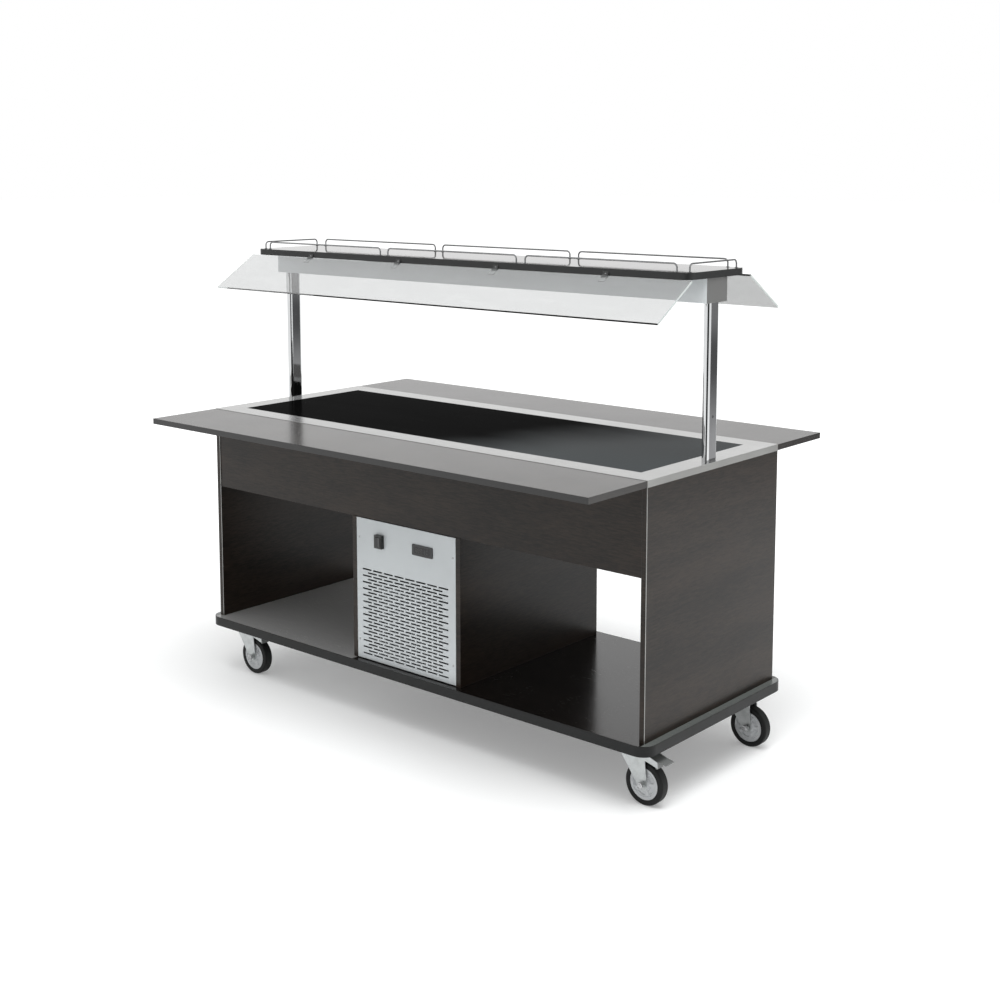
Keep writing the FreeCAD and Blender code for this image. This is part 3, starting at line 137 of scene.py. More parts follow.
def tone(red, green, blue):
    """A colour as the eye reads it, 0 to 255, turned into light."""
    shares = np.array([red, green, blue]) / 255
    light = np.where(shares < 0.04045, shares / 12.92, ((shares + 0.055) / 1.055) ** 2.4)
    return (*light.tolist(), 1.0)


def shaded(colour, share):
    """The same colour at a share of its 0 to 255 values."""
    return tone(*[value * share for value in colour])


class Finish:
    """A shader's nodes, laid over the object's own coordinates in metres."""

    def __init__(self, name, tree=None):
        self.material = None
        if tree is None:
            self.material = bpy.data.materials.new(name)
            self.material.use_nodes = True
            tree = self.material.node_tree
        self.tree = tree
        self.tree.nodes.clear()
        self.place = self.node("ShaderNodeTexCoord", out="Object")

    def node(self, kind, settings=None, sockets=None, out=0):
        """Any node: its settings come first, then the values or links of its sockets."""
        node = self.tree.nodes.new(kind)
        for key, value in (settings or {}).items():
            setattr(node, key, value)
        for key, value in (sockets or {}).items():
            plug(self.tree, node.inputs[key], value)
        return Wire(self.tree, node.outputs[out]) if node.outputs else node

    def axes(self):
        """The x, y and z of the object's coordinates as three numbers."""
        split = self.node("ShaderNodeSeparateXYZ", None, {0: self.place})
        outputs = split.socket.node.outputs
        return [Wire(self.tree, outputs[axis]) for axis in range(3)]

    def stretched(self, per_metre):
        """The object's coordinates, each times its own number."""
        settings = {"operation": "MULTIPLY"}
        return self.node("ShaderNodeVectorMath", settings, {0: self.place, 1: per_metre})

    def noise(self, per_metre, detail=3.0, rough=0.5, distort=0.0):
        """Cloudy noise with so many features per metre along x, y and z."""
        sockets = {"Vector": self.stretched(per_metre), "Scale": 1.0, "Detail": detail}
        sockets.update({"Roughness": rough, "Distortion": distort})
        return self.node("ShaderNodeTexNoise", None, sockets)

    def cells(self, per_metre, out="Distance"):
        """A cell pattern: the distance to each cell's middle, or a colour per cell."""
        sockets = {"Vector": self.stretched(per_metre), "Scale": 1.0}
        return self.node("ShaderNodeTexVoronoi", None, sockets, out)

    def blend(self, share, first, second):
        """Two colours mixed; sockets 6 and 7 and output 2 are the node's colour ones."""
        sockets = {0: share, 6: first, 7: second}
        return self.node("ShaderNodeMix", {"data_type": "RGBA"}, sockets, 2)

    def relief(self, height, metres, normal=None):
        """Bumps as deep as the given metres where height goes from 0 to 1."""
        sockets = {"Strength": 1.0, "Distance": metres, "Height": height}
        if normal:
            sockets["Normal"] = normal
        return self.node("ShaderNodeBump", None, sockets)

    def soft_edges(self, radius):
        """A normal that rounds the edges off by a radius in metres."""
        return self.node("ShaderNodeBevel", {"samples": 4}, {"Radius": radius})

    def skin(self, **sockets):
        """A Principled shader; underscores in its sockets' names stand for spaces."""
        named = {key.replace("_", " "): value for key, value in sockets.items()}
        return self.node("ShaderNodeBsdfPrincipled", None, named)

    def close(self, **sockets):
        """Join everything to one Principled shader and its material output."""
        return self.end(self.skin(**sockets))

    def end(self, shader):
        """Put the shader on the material output and give the material."""
        self.node("ShaderNodeOutputMaterial", None, {"Surface": shader})
        return self.material


# ---------------------------------------------------------------- finishes
def wood_print(finish, grain, dark, light):
    """Streaks along the grain, short pores and slow changes of tone, as a colour,
    with the streaks, fibres and pores themselves as numbers."""
    along, across, up = grain
    streak = finish.noise((along, across, up), 5.0, 0.62, 0.25)
    fibre = finish.noise((along * 3.1, across * 3.4, up * 3.4), 3.0, 0.6)
    pore = finish.noise((along * 4.5, across * 2.6, up * 2.6), 2.0, 0.5).over(0.64, 0.06)
    patch = finish.noise((along * 0.16, across * 0.05, up * 0.05), 2.0)
    share = (streak * 0.6 + fibre * 0.25 + patch * 0.45 - 0.15).over(0.3, 0.4)
    wood = finish.blend(share, tone(*dark), tone(*light))
    return finish.blend(pore * 0.65, wood, shaded(dark, 0.55)), (streak, fibre, pore)


def clear_coat(finish, colour, gloss, marks, mirror=0.5, texture=1.0):
    """A clear coat over the print's streaks, fibres and pores, which smudges a little.
    texture is the share of the usual relief and smudges."""
    streak, fibre, pore = marks
    smudge = finish.noise((7, 7, 7), 3.0, 0.6)
    rounded = finish.soft_edges(BOARD_EDGE)
    return finish.close(
        Base_Color=colour,
        Roughness=gloss + (smudge * 0.08 + streak * 0.06 + pore * 0.1) * texture,
        Specular_IOR_Level=mirror,
        Normal=finish.relief(fibre * 0.5 - pore, PRINT_RELIEF * texture, rounded),
    )


def laminate(name, grain, gloss, dark, light, mirror=0.5, texture=1.0):
    """Dark wood print under its clear coat."""
    finish = Finish(name)
    wood, marks = wood_print(finish, grain, dark, light)
    return clear_coat(finish, wood, gloss, marks, mirror, texture)


def shelf_finish():
    """The same print on the shelves, with blacker banding on their outer edges."""
    finish = Finish("shelf_laminate")
    wood, marks = wood_print(finish, WOOD_FLAT, *TOP_PRINT)
    y = finish.axes()[1]
    banding = finish.blend(marks[0], tone(5, 4, 4), tone(13, 11, 10))
    outer = abs(y).over(SHELF_REACH - 0.0006, 0.0004)
    return clear_coat(finish, finish.blend(outer, wood, banding), 0.12, marks)


def base_board_finish():
    """The same print, with painted light: a pale grey over the floor of the left compartment and
    on the ledges outside the end panels stands in for the light that falls there."""
    finish = Finish("base_laminate")
    wood, marks = wood_print(finish, WOOD_FLAT, (13, 10, 8), (24, 20, 17))
    x = finish.axes()[0]
    on_floor = 1 - x.over(LEFT_FLOOR_END, 0.01)
    on_ledge = abs(x).over(PANEL_OUTSIDE - 0.0005, 0.001)
    # Painted light: these pale greys stand in for the light on the left compartment's floor and on
    # the ledges.
    painted_floor_light = finish.blend(marks[0], tone(148, 148, 148), tone(172, 172, 171))
    painted_ledge_light = finish.blend(marks[0], tone(84, 88, 86), tone(112, 116, 114))
    colour = finish.blend(on_ledge, finish.blend(on_floor, wood, painted_floor_light), painted_ledge_light)
    return clear_coat(finish, colour, 0.1, marks)


def plastic(name, colour, rough, grain=1400, depth=0.00003, worn=(70, 70, 70), mirror=0.5):
    """Moulded plastic with a fine spark-eroded grain and a few pale scuffs."""
    finish = Finish(name)
    pits = finish.noise((grain, grain, grain), 2.0, 0.5)
    cloud = finish.noise((18, 18, 18), 3.0, 0.6)
    scuff = finish.noise((60, 60, 420), 3.0, 0.7).over(0.66, 0.08) * 0.3
    shade = finish.blend(cloud.over(0.3, 0.4) * 0.5, tone(*colour), shaded(colour, 0.86))
    return finish.close(
        Base_Color=finish.blend(scuff, shade, tone(*worn)),
        Roughness=rough + cloud * 0.12 - 0.06 + scuff * 0.2,
        Specular_IOR_Level=mirror,
        Normal=finish.relief(pits, depth, finish.soft_edges(0.0006)),
    )


def metal(
    name, colour, rough, lines=(60, 60, 60), spread=0.16, depth=0.00001, dull=0.8, edge=0.0006
):
    """Bare or plated metal: fine lines or mottling in colour and in roughness."""
    finish = Finish(name)
    grain = finish.noise(lines, 4.0, 0.65)
    cloud = finish.noise((9, 9, 9), 3.0, 0.6)
    share = grain * 0.6 + cloud * 0.4
    return finish.close(
        Base_Color=finish.blend(share.over(0.3, 0.4), shaded(colour, dull), tone(*colour)),
        Metallic=1.0,
        Roughness=rough + grain * spread + cloud * spread * 0.6 - spread * 0.8,
        Normal=finish.relief(grain, depth, finish.soft_edges(edge)),
    )


def brushed_rim():
    """Brushed steel: the lines follow the long sides, and cross them at the ends.
    The turned-down sides are rougher than the top, and painted shade darkens their colour."""
    finish = Finish("rim_steel")
    x, _, z = finish.axes()
    at_end = abs(x).over(GLASS_END, 0.0004)
    along = finish.noise((7, 1500, 1500), 4.0, 0.7)
    across = finish.noise((1500, 7, 1500), 4.0, 0.7)
    lines = along * (1 - at_end) + across * at_end
    cloud = finish.noise((5, 5, 5), 3.0, 0.6)
    share = (lines * 0.6 + cloud * 0.4).over(0.32, 0.36)
    top = finish.blend(share, tone(172, 172, 171), tone(198, 198, 197))
    # Painted shade: the turned-down sides take a darker steel tone than the top.
    side = finish.blend(share, tone(150, 150, 148), tone(166, 166, 164))
    level = z.over(RIM_TOP - 0.0008, 0.0005)
    return finish.close(
        Base_Color=finish.blend(level, side, top),
        Metallic=1.0,
        Roughness=lines * 0.16 + cloud * 0.08 + 0.38 - level * 0.26,
        Normal=finish.relief(lines, 0.000006, finish.soft_edges(0.0008)),
    )


def painted(name, colour, rough, peel=900, depth=0.00002, chip=(120, 122, 122)):
    """Powder coat: orange peel, soft changes of tone and a few rubbed spots."""
    finish = Finish(name)
    skin = finish.noise((peel, peel, peel), 2.0, 0.5)
    cloud = finish.noise((4, 4, 4), 3.0, 0.55)
    rub = finish.noise((35, 35, 90), 4.0, 0.7).over(0.69, 0.06) * 0.35
    shade = finish.blend(cloud.over(0.3, 0.4), shaded(colour, 0.965), tone(*colour))
    return finish.close(
        Base_Color=finish.blend(rub, shade, tone(*chip)),
        Roughness=rough + skin * 0.08 + cloud * 0.08 - 0.08,
        Normal=finish.relief(skin, depth, finish.soft_edges(0.0007)),
    )


def black_glass():
    """Black glass that stays dark at a low angle. Its clear coat gains shine towards
    the right end, where a painted cool grey sheen lightens its colour."""
    finish = Finish("black_glass")
    x, y, _ = finish.axes()
    wipe = finish.noise((3, 16, 3), 4.0, 0.6, 0.6)
    sheen_noise = finish.noise((1.6, 3.5, 1.0), 2.0, 0.5)
    right = (x - y * 0.4 + sheen_noise * 0.3 - 0.15).over(0.1, 0.48)
    dust = finish.noise((700, 700, 700), 2.0, 0.5).over(0.72, 0.04)
    # Painted sheen: towards the right end the colour turns from black to a cool grey.
    shade = finish.blend(right, tone(6, 6, 6), tone(30, 36, 38))
    return finish.close(
        Base_Color=finish.blend(dust * 0.1, shade, tone(96, 98, 99)),
        Roughness=wipe.over(0.45, 0.3) * 0.1 + 0.12,
        IOR=1.006,
        Coat_Weight=right * 0.5 + wipe * 0.03,
        Coat_IOR=1.08,
        Coat_Roughness=0.14,
        Normal=finish.soft_edges(0.0008),
    )


def guard_glass():
    """Tinted guard glass that mirrors the room like a veil, with ground edges."""
    finish = Finish("guard_glass")
    x, y, z = finish.axes()
    low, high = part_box("guard_glass_rear")
    wipe = finish.noise((5, 22, 22), 4.0, 0.65, 0.5)
    tint = finish.blend(wipe.over(0.4, 0.4), tone(207, 208, 208), tone(213, 214, 214))
    clear = finish.skin(
        Base_Color=tint,
        Roughness=wipe.over(0.5, 0.3) * 0.03,
        IOR=1.9,
        Transmission_Weight=1.0,
    )
    grit = finish.noise((900, 900, 900), 3.0, 0.6)
    ground = finish.skin(
        Base_Color=finish.blend(grit, tone(200, 207, 205), tone(224, 230, 228)),
        Roughness=0.5 + grit * 0.2,
    )
    slope = math.hypot(PANE_DROP, PANE_REACH)
    drop, reach = PANE_DROP / slope, PANE_REACH / slope
    along = (abs(y) - low.y) * reach + (high.z - z) * drop
    width = (high.y - low.y) * reach + (high.z - low.z) * drop
    edge = along.over(width - PANE_EDGE, 0.0001)
    edge = edge.reckon("MAXIMUM", edge, 1 - along.over(PANE_EDGE, 0.0001))
    edge = edge.reckon("MAXIMUM", edge, abs(x).over(high.x - 0.0001, 0.00005))
    return finish.end(finish.node("ShaderNodeMixShader", None, {0: edge, 1: clear, 2: ground}))


def clip_finish():
    """Clips coated like the canopy's edge where they lie on it, and pale below."""
    finish = Finish("clip_steel")
    z = finish.axes()[2]
    grain = finish.noise((700, 700, 20), 4.0, 0.65)
    pale = finish.blend(grain.over(0.3, 0.4), tone(112, 115, 115), tone(126, 129, 129))
    coat = finish.blend(grain.over(0.3, 0.4), tone(36, 37, 37), tone(46, 47, 47))
    coated = z.over(CANOPY_UNDER - 0.0006, 0.0002)
    return finish.close(
        Base_Color=finish.blend(coated, pale, coat),
        Roughness=0.32 + grain * 0.16,
        Normal=finish.relief(grain, 0.00001, finish.soft_edges(0.0005)),
    )


def lamp_paint():
    """Satin lacquer on the lamp's long sides, with painted shade that darkens the end caps."""
    finish = Finish("lamp_aluminium")
    x = finish.axes()[0]
    skin = finish.noise((1300, 1300, 1300), 2.0, 0.5)
    cloud = finish.noise((4, 4, 4), 3.0, 0.55)
    white = finish.blend(cloud, tone(229, 234, 236), tone(238, 243, 245))
    # Painted shade: the end caps are coloured darker because less light reaches them.
    painted_cap_shade = finish.blend(cloud, tone(108, 108, 107), tone(120, 120, 119))
    cap = abs(x).over(LAMP_END - 0.0004, 0.0002)
    return finish.close(
        Base_Color=finish.blend(cap, white, painted_cap_shade),
        Roughness=0.3 + skin * 0.08 + cloud * 0.08,
        Normal=finish.relief(skin, 0.00001, finish.soft_edges(0.0007)),
    )


def opal():
    """White opal lamp cover with a fine frosted grain."""
    finish = Finish("opal")
    frost = finish.noise((1600, 1600, 1600), 2.0, 0.5)
    cloud = finish.noise((12, 12, 12), 2.0)
    return finish.close(
        Base_Color=finish.blend(cloud, tone(226, 227, 224), tone(238, 238, 236)),
        Roughness=0.35 + frost * 0.1,
        Normal=finish.relief(frost, 0.00002),
    )


def rubber():
    """Tyre rubber: matt black, with some dust rubbed into it."""
    finish = Finish("tyre_rubber")
    pits = finish.noise((1100, 1100, 1100), 2.0, 0.6)
    dust = finish.noise((38, 90, 38), 5.0, 0.7).over(0.5, 0.3)
    return finish.close(
        Base_Color=finish.blend(dust * 0.3, tone(13, 14, 14), tone(40, 40, 39)),
        Roughness=0.55 + dust * 0.2 + pits * 0.08,
        Specular_IOR_Level=0.3,
        Normal=finish.relief(pits * 0.7 + dust * 0.3, 0.00006),
    )


def galvanised(name, colour):
    """Zinc-coated sheet with its crystal spangle."""
    finish = Finish(name)
    spangle = finish.cells((95, 95, 95), "Color")
    share = finish.node("ShaderNodeSeparateColor", None, {0: spangle})
    cloud = finish.noise((20, 20, 20), 3.0, 0.6)
    return finish.close(
        Base_Color=finish.blend(share * 0.7 + cloud * 0.3, shaded(colour, 0.8), tone(*colour)),
        Metallic=1.0,
        Roughness=share * 0.2 + cloud * 0.15 + 0.2,
        Normal=finish.relief(share, 0.00001, finish.soft_edges(0.0005)),
    )


def foam():
    """Pale rigid foam with burst cells."""
    finish = Finish("foam")
    cell = finish.cells((420, 420, 420))
    cloud = finish.noise((14, 14, 14), 3.0, 0.6)
    return finish.close(
        Base_Color=finish.blend(cloud, tone(214, 205, 168), tone(232, 224, 190)),
        Roughness=0.8 + cell * 0.1,
        Normal=finish.relief(cell, 0.0004),
    )


def window_face():
    """Smoked thermostat window: dark, glossy and a little dusty."""
    finish = Finish("thermostat_face")
    dust = finish.noise((400, 400, 400), 3.0, 0.6)
    smear = finish.noise((50, 50, 120), 3.0, 0.6)
    return finish.close(
        Base_Color=finish.blend(dust * 0.4, tone(8, 9, 10), tone(34, 35, 36)),
        Roughness=0.14 + smear * 0.16,
        Specular_IOR_Level=0.4,
        Normal=finish.soft_edges(0.0005),
    )


# Features of the wood print per metre along x, y and z, and its two tones on top.
WOOD_UPRIGHT = (26, 26, 230)
WOOD_FLAT = (14, 330, 330)
TOP_PRINT = (24, 21, 18), (40, 35, 31)

FINISHES = {
    "carcass_laminate": laminate(
        "carcass_laminate", WOOD_UPRIGHT, 0.24, (12, 8, 5), (47, 38, 31), 0.24
    ),
    "base_laminate": base_board_finish(),
    "shelf_laminate": shelf_finish(),
    "canopy_laminate": laminate("canopy_laminate", WOOD_FLAT, 0.03, *TOP_PRINT, texture=0.25),
    "base_edge": plastic("base_edge", (20, 21, 21), 0.4, 900, worn=(52, 52, 52), mirror=0.25),
    "canopy_edge": plastic("canopy_edge", (36, 37, 37), 0.4, 900, mirror=0.3),
    "grille_paint": painted("grille_paint", (206, 211, 213), 0.4, chip=(150, 152, 152)),
    "pedal_paint": painted("pedal_paint", (112, 114, 113), 0.42, 900, 0.00003, (150, 151, 150)),
    "rim_steel": brushed_rim(),
    "black_glass": black_glass(),
    "cold_aluminium": metal("cold_aluminium", (205, 207, 208), 0.3, (8, 1200, 1200)),
    "copper": metal("copper", (200, 122, 86), 0.3, (90, 90, 90), 0.2, 0.00002, 0.6),
    "foam": foam(),
    "zinc_sheet": galvanised("zinc_sheet", (188, 192, 195)),
    "machine_black": painted("machine_black", (30, 31, 32), 0.36, 700, 0.00004, (80, 80, 80)),
    "shroud_plastic": plastic("shroud_plastic", (34, 35, 36), 0.45),
    "switch_plastic": plastic("switch_plastic", (14, 15, 15), 0.3),
    "rocker_plastic": plastic("rocker_plastic", (40, 41, 41), 0.22),
    "thermostat_plastic": plastic("thermostat_plastic", (26, 27, 28), 0.34),
    "thermostat_face": window_face(),
    "column_chrome": metal(
        "column_chrome", (206, 207, 208), 0.05, (40, 40, 9), 0.05, 0.000001, 0.94
    ),
    "rail_chrome": metal("rail_chrome", (150, 151, 152), 0.12, (60, 60, 60), 0.08, 0.000002, 0.85),
    "socket_steel": metal("socket_steel", (150, 152, 154), 0.34),
    "lamp_aluminium": lamp_paint(),
    "opal": opal(),
    "guard_glass": guard_glass(),
    "clip_steel": clip_finish(),
    "hinge_zinc": metal("hinge_zinc", (182, 184, 184), 0.34, (60, 60, 60), 0.2),
    "caster_zinc": metal(
        "caster_zinc", (196, 199, 199), 0.36, (45, 45, 45), 0.2, 0.00002, 0.86, 0.001
    ),
    "wheel_plastic": plastic("wheel_plastic", (208, 210, 212), 0.4, 700, 0.00003, (150, 149, 146)),
    "tyre_rubber": rubber(),
}

for node in NODES.values():
    for place in node.material_slots:
        place.material = FINISHES[place.name]

# Light goes through the guard glass to the lamp and the counter.
for _, word in SIDES:
    NODES[f"guard_glass_{word}"].visible_shadow = False
    NODES[f"guard_glass_{word}"].visible_diffuse = False


# ---------------------------------------------------------------- meshes
def mm(values):
    """Millimetres turned into metres."""
    return np.array(values, dtype=float) / 1000


def closed_rings(copies):
    """Grids of points, (copies, rows, columns, 3), whose columns close on themselves,
    become quads between each two rows."""
    count, rows, columns = copies.shape[:3]
    number = np.arange(count * rows * columns).reshape(count, rows, columns)
    after = np.roll(number, -1, axis=2)
    quads = np.stack([number[:, :-1], after[:, :-1], after[:, 1:], number[:, 1:]], axis=-1)
    return copies.reshape(-1, 3), quads.reshape(-1, 4)


def piece(name, grids, body, slot, finish=None):
    """Join closed rings of points into one object that rides on a CAD body."""
    points, faces, start = [], [], 0
    for grid in grids:
        some, quads = closed_rings(np.asarray(grid, dtype=float))
        points.append(some)
        faces.append(quads + start)
        start += len(some)
    mesh = bpy.data.meshes.new(name)
    mesh.from_pydata(np.concatenate(points).tolist(), [], np.concatenate(faces).tolist())
    shell = bmesh.new()
    shell.from_mesh(mesh)
    bmesh.ops.remove_doubles(shell, verts=shell.verts, dist=1e-6)
    bmesh.ops.dissolve_degenerate(shell, edges=shell.edges, dist=1e-7)
    bmesh.ops.recalc_face_normals(shell, faces=shell.faces)
    shell.to_mesh(mesh)
    shell.free()
    mesh.shade_smooth()
    mesh.set_sharp_from_angle(angle=math.radians(32))
    mesh.materials.append(finish or FINISHES[slot])
    thing = bpy.data.objects.new(name, mesh)
    bpy.context.scene.collection.objects.link(thing)
    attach(thing, body)


def stood(local, places, facing, up=(0, 0, 1)):
    """Copies of a local grid (rows, columns, 3) at each place, its z along facing."""
    facing = np.asarray(facing, dtype=float)
    side = np.cross(up, facing)
    side /= np.linalg.norm(side)
    swung = local @ np.stack([side, np.cross(facing, side), facing])
    return np.asarray(places, dtype=float)[:, None, None, :] + swung[None]


def ring(count):
    """So many angles, evenly spread over one turn."""
    return np.arange(count) / count * TAU


def band(distance, half, soft):
    """1 near the middle line, falling to 0 over the last soft before distance half."""
    return np.clip((half - np.abs(distance)) / soft, 0, 1)


def turned(profile, count=24, radius_of=None):
    """A profile of (radius, height) pairs turned about z: x is radius times cosine,
    y is radius times sine. radius_of scales the radius at each angle."""
    radius, height = np.array(profile, dtype=float).T
    angle = ring(count)
    scale = radius_of(angle) if radius_of else np.ones(count)
    x = radius[:, None] * (np.cos(angle) * scale)[None]
    y = radius[:, None] * (np.sin(angle) * scale)[None]
    return np.stack([x, y, np.broadcast_to(height[:, None], x.shape)], axis=-1)


def six_sided(angle):
    """Distance to the side of a hexagon whose corners are at distance 1."""
    return math.cos(math.pi / 6) / np.cos(angle % (math.pi / 3) - math.pi / 6)


def cross_head(radius, height):
    """A domed screw head: height falls as the square of the distance from the middle,
    and two crossed arms, each a soft band across the middle, are sunk into it."""
    share = np.array([0, 0.12, 0.24, 0.36, 0.48, 0.58, 0.7, 0.82, 0.92, 1.0])
    angle = ring(28)
    x = share[:, None] * np.cos(angle)[None]
    y = share[:, None] * np.sin(angle)[None]
    dome = height * (1 - 0.45 * share**2)[:, None]
    arm = np.maximum(
        band(x, 0.17, 0.08) * band(y, 0.62, 0.12),
        band(y, 0.17, 0.08) * band(x, 0.62, 0.12),
    )
    top = np.stack([x * radius, y * radius, dome - arm * height * 0.7], axis=-1)
    foot = turned([(radius, -height * 0.3), (0, -height * 0.3)], len(angle))
    return np.concatenate([top, foot])


def hex_head(across, height):
    """A hexagon head: chamfered top, straight sides and a flat foot."""
    corner = across / 2 / math.cos(math.pi / 6)
    profile = [(0, height), (across * 0.44, height), (corner, height * 0.8), (corner, 0), (0, 0)]
    return turned(profile, 24, six_sided)


# ---------------------------------------------------------------- fasteners
bright = metal("screw_steel", (196, 197, 198), 0.28, (300, 300, 300))
grommet = plastic("black_insert", (16, 16, 17), 0.5)


def side_screws():
    """Cross-headed screws in both grilles, the hinge plates and the clips. Each set has
    its places along x and z, the y of its face and the radius of its heads, in mm."""
    grille = [(x, z) for x in (-200, 200) for z in (263, 595.5)]
    plate = [(x + hinge, z) for hinge in HINGES for x, z in ((-23, 865), (23, 865), (0, 882))]
    clip = [(x, 1455.5) for x in CLIPS]
    sets = (
        ("grille_screws", grille, 340, 3.4, "grille_paint"),
        ("hinge_screws", plate, 341, 3.6, "hinge_zinc"),
        ("clip_screws", clip, 149.5, 2.2, "clip_steel"),
    )
    for name, spots, face, radius, slot in sets:
        head = cross_head(*mm((radius, radius / 2.2)))
        for side, word in SIDES:
            heads = stood(head, mm([(x, face * side, z) for x, z in spots]), (0, side, 0))
            piece(f"{name}_{word}", [heads], "carcass", slot, bright)


def shelf_screws():
    """Screws that hold each shelf on its arms, seen from below."""
    head = cross_head(*mm((3.4, 1.6)))
    rows = [(hinge + x, y) for hinge in HINGES for x in (-11, 11) for y in (410, 470, 530)]
    for side, word in SIDES:
        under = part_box(f"shelf_{word}")[0].z - ARM_THICK
        places = [(*mm((x, y * side)), under) for x, y in rows]
        heads = stood(head, places, (0, 0, -1), (0, 1, 0))
        piece(f"shelf_screws_{word}", [heads], f"shelf_leaf_{word}", "hinge_zinc", bright)


def column_inserts():
    """A small dark insert in the outer flat of each column, a quarter of the way up."""
    profile = [(0, -0.4), (1.5, -0.4), (2.1, 0.5), (3.6, 0.5), (3.9, 0), (3.9, -0.5), (0, -0.5)]
    local = turned(mm(profile), 28)
    for side, word in ENDS:
        low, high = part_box(f"column_{word}")
        face = high.x if side > 0 else low.x
        insert = stood(local, [(face, 0, RIM_TOP + 0.126)], (side, 0, 0))
        piece(f"column_insert_{word}", [insert], "carcass", "column_chrome", grommet)


def rail_feet():
    """A thin domed flange round every foot of the gallery rails, in millimetres: three
    rails along each side and one across each end."""
    length, gap = 539.33, 34
    side_y, end_x, end_y = 130.5, 878, 120
    along = [(length + gap) * k + end * length / 2 for k in (-1, 0, 1) for end in (-1, 1)]
    feet = [(x, y) for x in along for y in (-side_y, side_y)]
    feet += [(x, y) for x in (-end_x, end_x) for y in (-end_y, end_y)]
    profile = [(2.4, 0), (5.6, 0), (5.8, 0.5), (4.9, 1.1), (3.2, 1.7), (2.4, 1.8), (2.4, 0)]
    places = [(*mm(foot), CANOPY_TOP) for foot in feet]
    flanges = stood(turned(mm(profile), 20), places, (0, 0, 1), (0, 1, 0))
    piece("rail_flanges", [flanges], "carcass", "rail_chrome")


def corner_beads():
    """A thin pale metal bead down two opposite upright corners of both end panels, a painted
    highlight on the corners that catch the light: a small circle of points carried from the base
    to the rim."""
    count, radius = 12, 0.0011
    inset = radius * 0.55
    angle = ring(count)
    circle = np.stack([np.cos(angle), np.sin(angle)], axis=-1) * radius
    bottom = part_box("base_board")[1].z
    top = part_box("end_panel_left")[1].z
    rows = ((0, bottom), (1, bottom), (1, top), (0, top))
    beads = []
    for _, word in ENDS:
        low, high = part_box(f"end_panel_{word}")
        for corner in ((high.x - inset, low.y + inset), (low.x + inset, high.y - inset)):
            beads.append([
                np.column_stack([circle * share + corner, np.full(count, z)])
                for share, z in rows
            ])
    # Painted highlight: a pale metal stands in for the light caught by the panels' rounded
    # corners.
    bead_highlight_metal = metal("bead_highlight", (168, 168, 166), 0.3, (300, 300, 8))
    piece("corner_beads", [np.array(beads)], "carcass", "carcass_laminate", bead_highlight_metal)


# ---------------------------------------------------------------- casters
def wheel_face():
    """Moulded disc: radius runs outwards through a hub ring, five pockets and an outer
    step; the height at each radius and angle drops by a smooth window in both."""
    radius, height = np.array([
        (16.6, 8.6), (16.6, 14.2), (17.6, 14.8), (19.4, 14.8), (20.2, 13.4), (21.2, 13),
        (22.4, 13), (24, 13), (27, 13), (30, 13), (31.6, 13), (32.8, 13),
        (33.8, 13), (34.6, 13.8), (35.6, 13.8), (36.6, 13), (37.4, 12), (37.4, 8.6),
    ]).T
    angle = ring(100)
    pocket_count, pocket_middle, pocket_deep = 5, 27, 3.9
    turns = np.abs((angle / TAU * pocket_count) % 1 - 0.5)
    pocket = band(radius - pocket_middle, 6.4, 1.6)[:, None] * band(turns, 0.36, 0.05)[None]
    x = radius[:, None] * np.cos(angle)[None]
    y = radius[:, None] * np.sin(angle)[None]
    top = mm(np.stack([x, y, height[:, None] - pocket_deep * pocket], axis=-1))
    return np.concatenate([top, top[:1]])


def caster_details():
    """Discs, tyre ridges, bearing shields, axle nuts and bolt ends of the four casters."""
    shield = turned(mm([
        (5.4, 19), (13.6, 19), (13.6, 19.9), (12.6, 20.3), (9, 20.3), (6.2, 19.8), (5.4, 19),
    ]), 36)
    ridge = ((-0.9, 15.6), (-0.35, 16.35), (0.35, 16.35), (0.9, 15.6), (-0.9, 15.6))
    ridges = [
        turned(mm([(radius + off, height) for off, height in ridge]), 90)
        for radius in (49, 54.2)
    ]
    nut = hex_head(0.0176, 0.0056)
    stud = turned(mm([(0, 6.9), (3.6, 6.9), (4.6, 6.2), (4.8, 5), (0, 5)]))
    washer = turned(mm([(0, 0.9), (9.9, 0.9), (10.4, 0.5), (10.4, -0.2), (0, -0.2)]), 40)
    for word in ("front_left", "front_right", "rear_left", "rear_right"):
        low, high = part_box(f"caster_wheel_{word}")
        middle = (low + high) / 2
        left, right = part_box(f"caster_fork_{word}")
        cheek = (right.y - left.y) / 2 - AXLE_STUB
        discs, bands, shields, nuts = [], [], [], []
        for side, _ in SIDES:
            facing = (0, side, 0)
            hub = [(middle.x, middle.y, middle.z)]
            plate = [(middle.x, middle.y + cheek * side, middle.z)]
            discs.append(stood(wheel_face(), hub, facing))
            shields.append(stood(shield, hub, facing))
            bands += [stood(local, hub, facing) for local in ridges]
            nuts += [stood(local, plate, facing) for local in (washer, nut, stud)]
        piece(f"wheel_discs_{word}", discs, f"wheel_{word}", "wheel_plastic")
        piece(f"bearing_shields_{word}", shields, f"wheel_{word}", "caster_zinc")
        piece(f"tyre_ridges_{word}", bands, f"wheel_{word}", "tyre_rubber")
        piece(f"axle_nuts_{word}", nuts, f"fork_{word}", "caster_zinc", bright)


# ---------------------------------------------------------------- controls
def bar(middle, length, width, upright, proud):
    """One stroke of a digit: a long hexagon, raised by proud, in x and z."""
    half, side = length / 2, width / 2
    outline = np.array([
        (-half, 0), (-half + side, -side), (half - side, -side),
        (half, 0), (half - side, side), (-half + side, side),
    ])
    if upright:
        outline = outline[:, ::-1]
    rows = []
    for share, y in ((0, -proud), (1, -proud), (1, proud), (0, proud)):
        spot = outline * share + np.array(middle)
        rows.append(np.stack([spot[:, 0], np.full(6, y), spot[:, 1]], axis=-1))
    return np.array(rows)


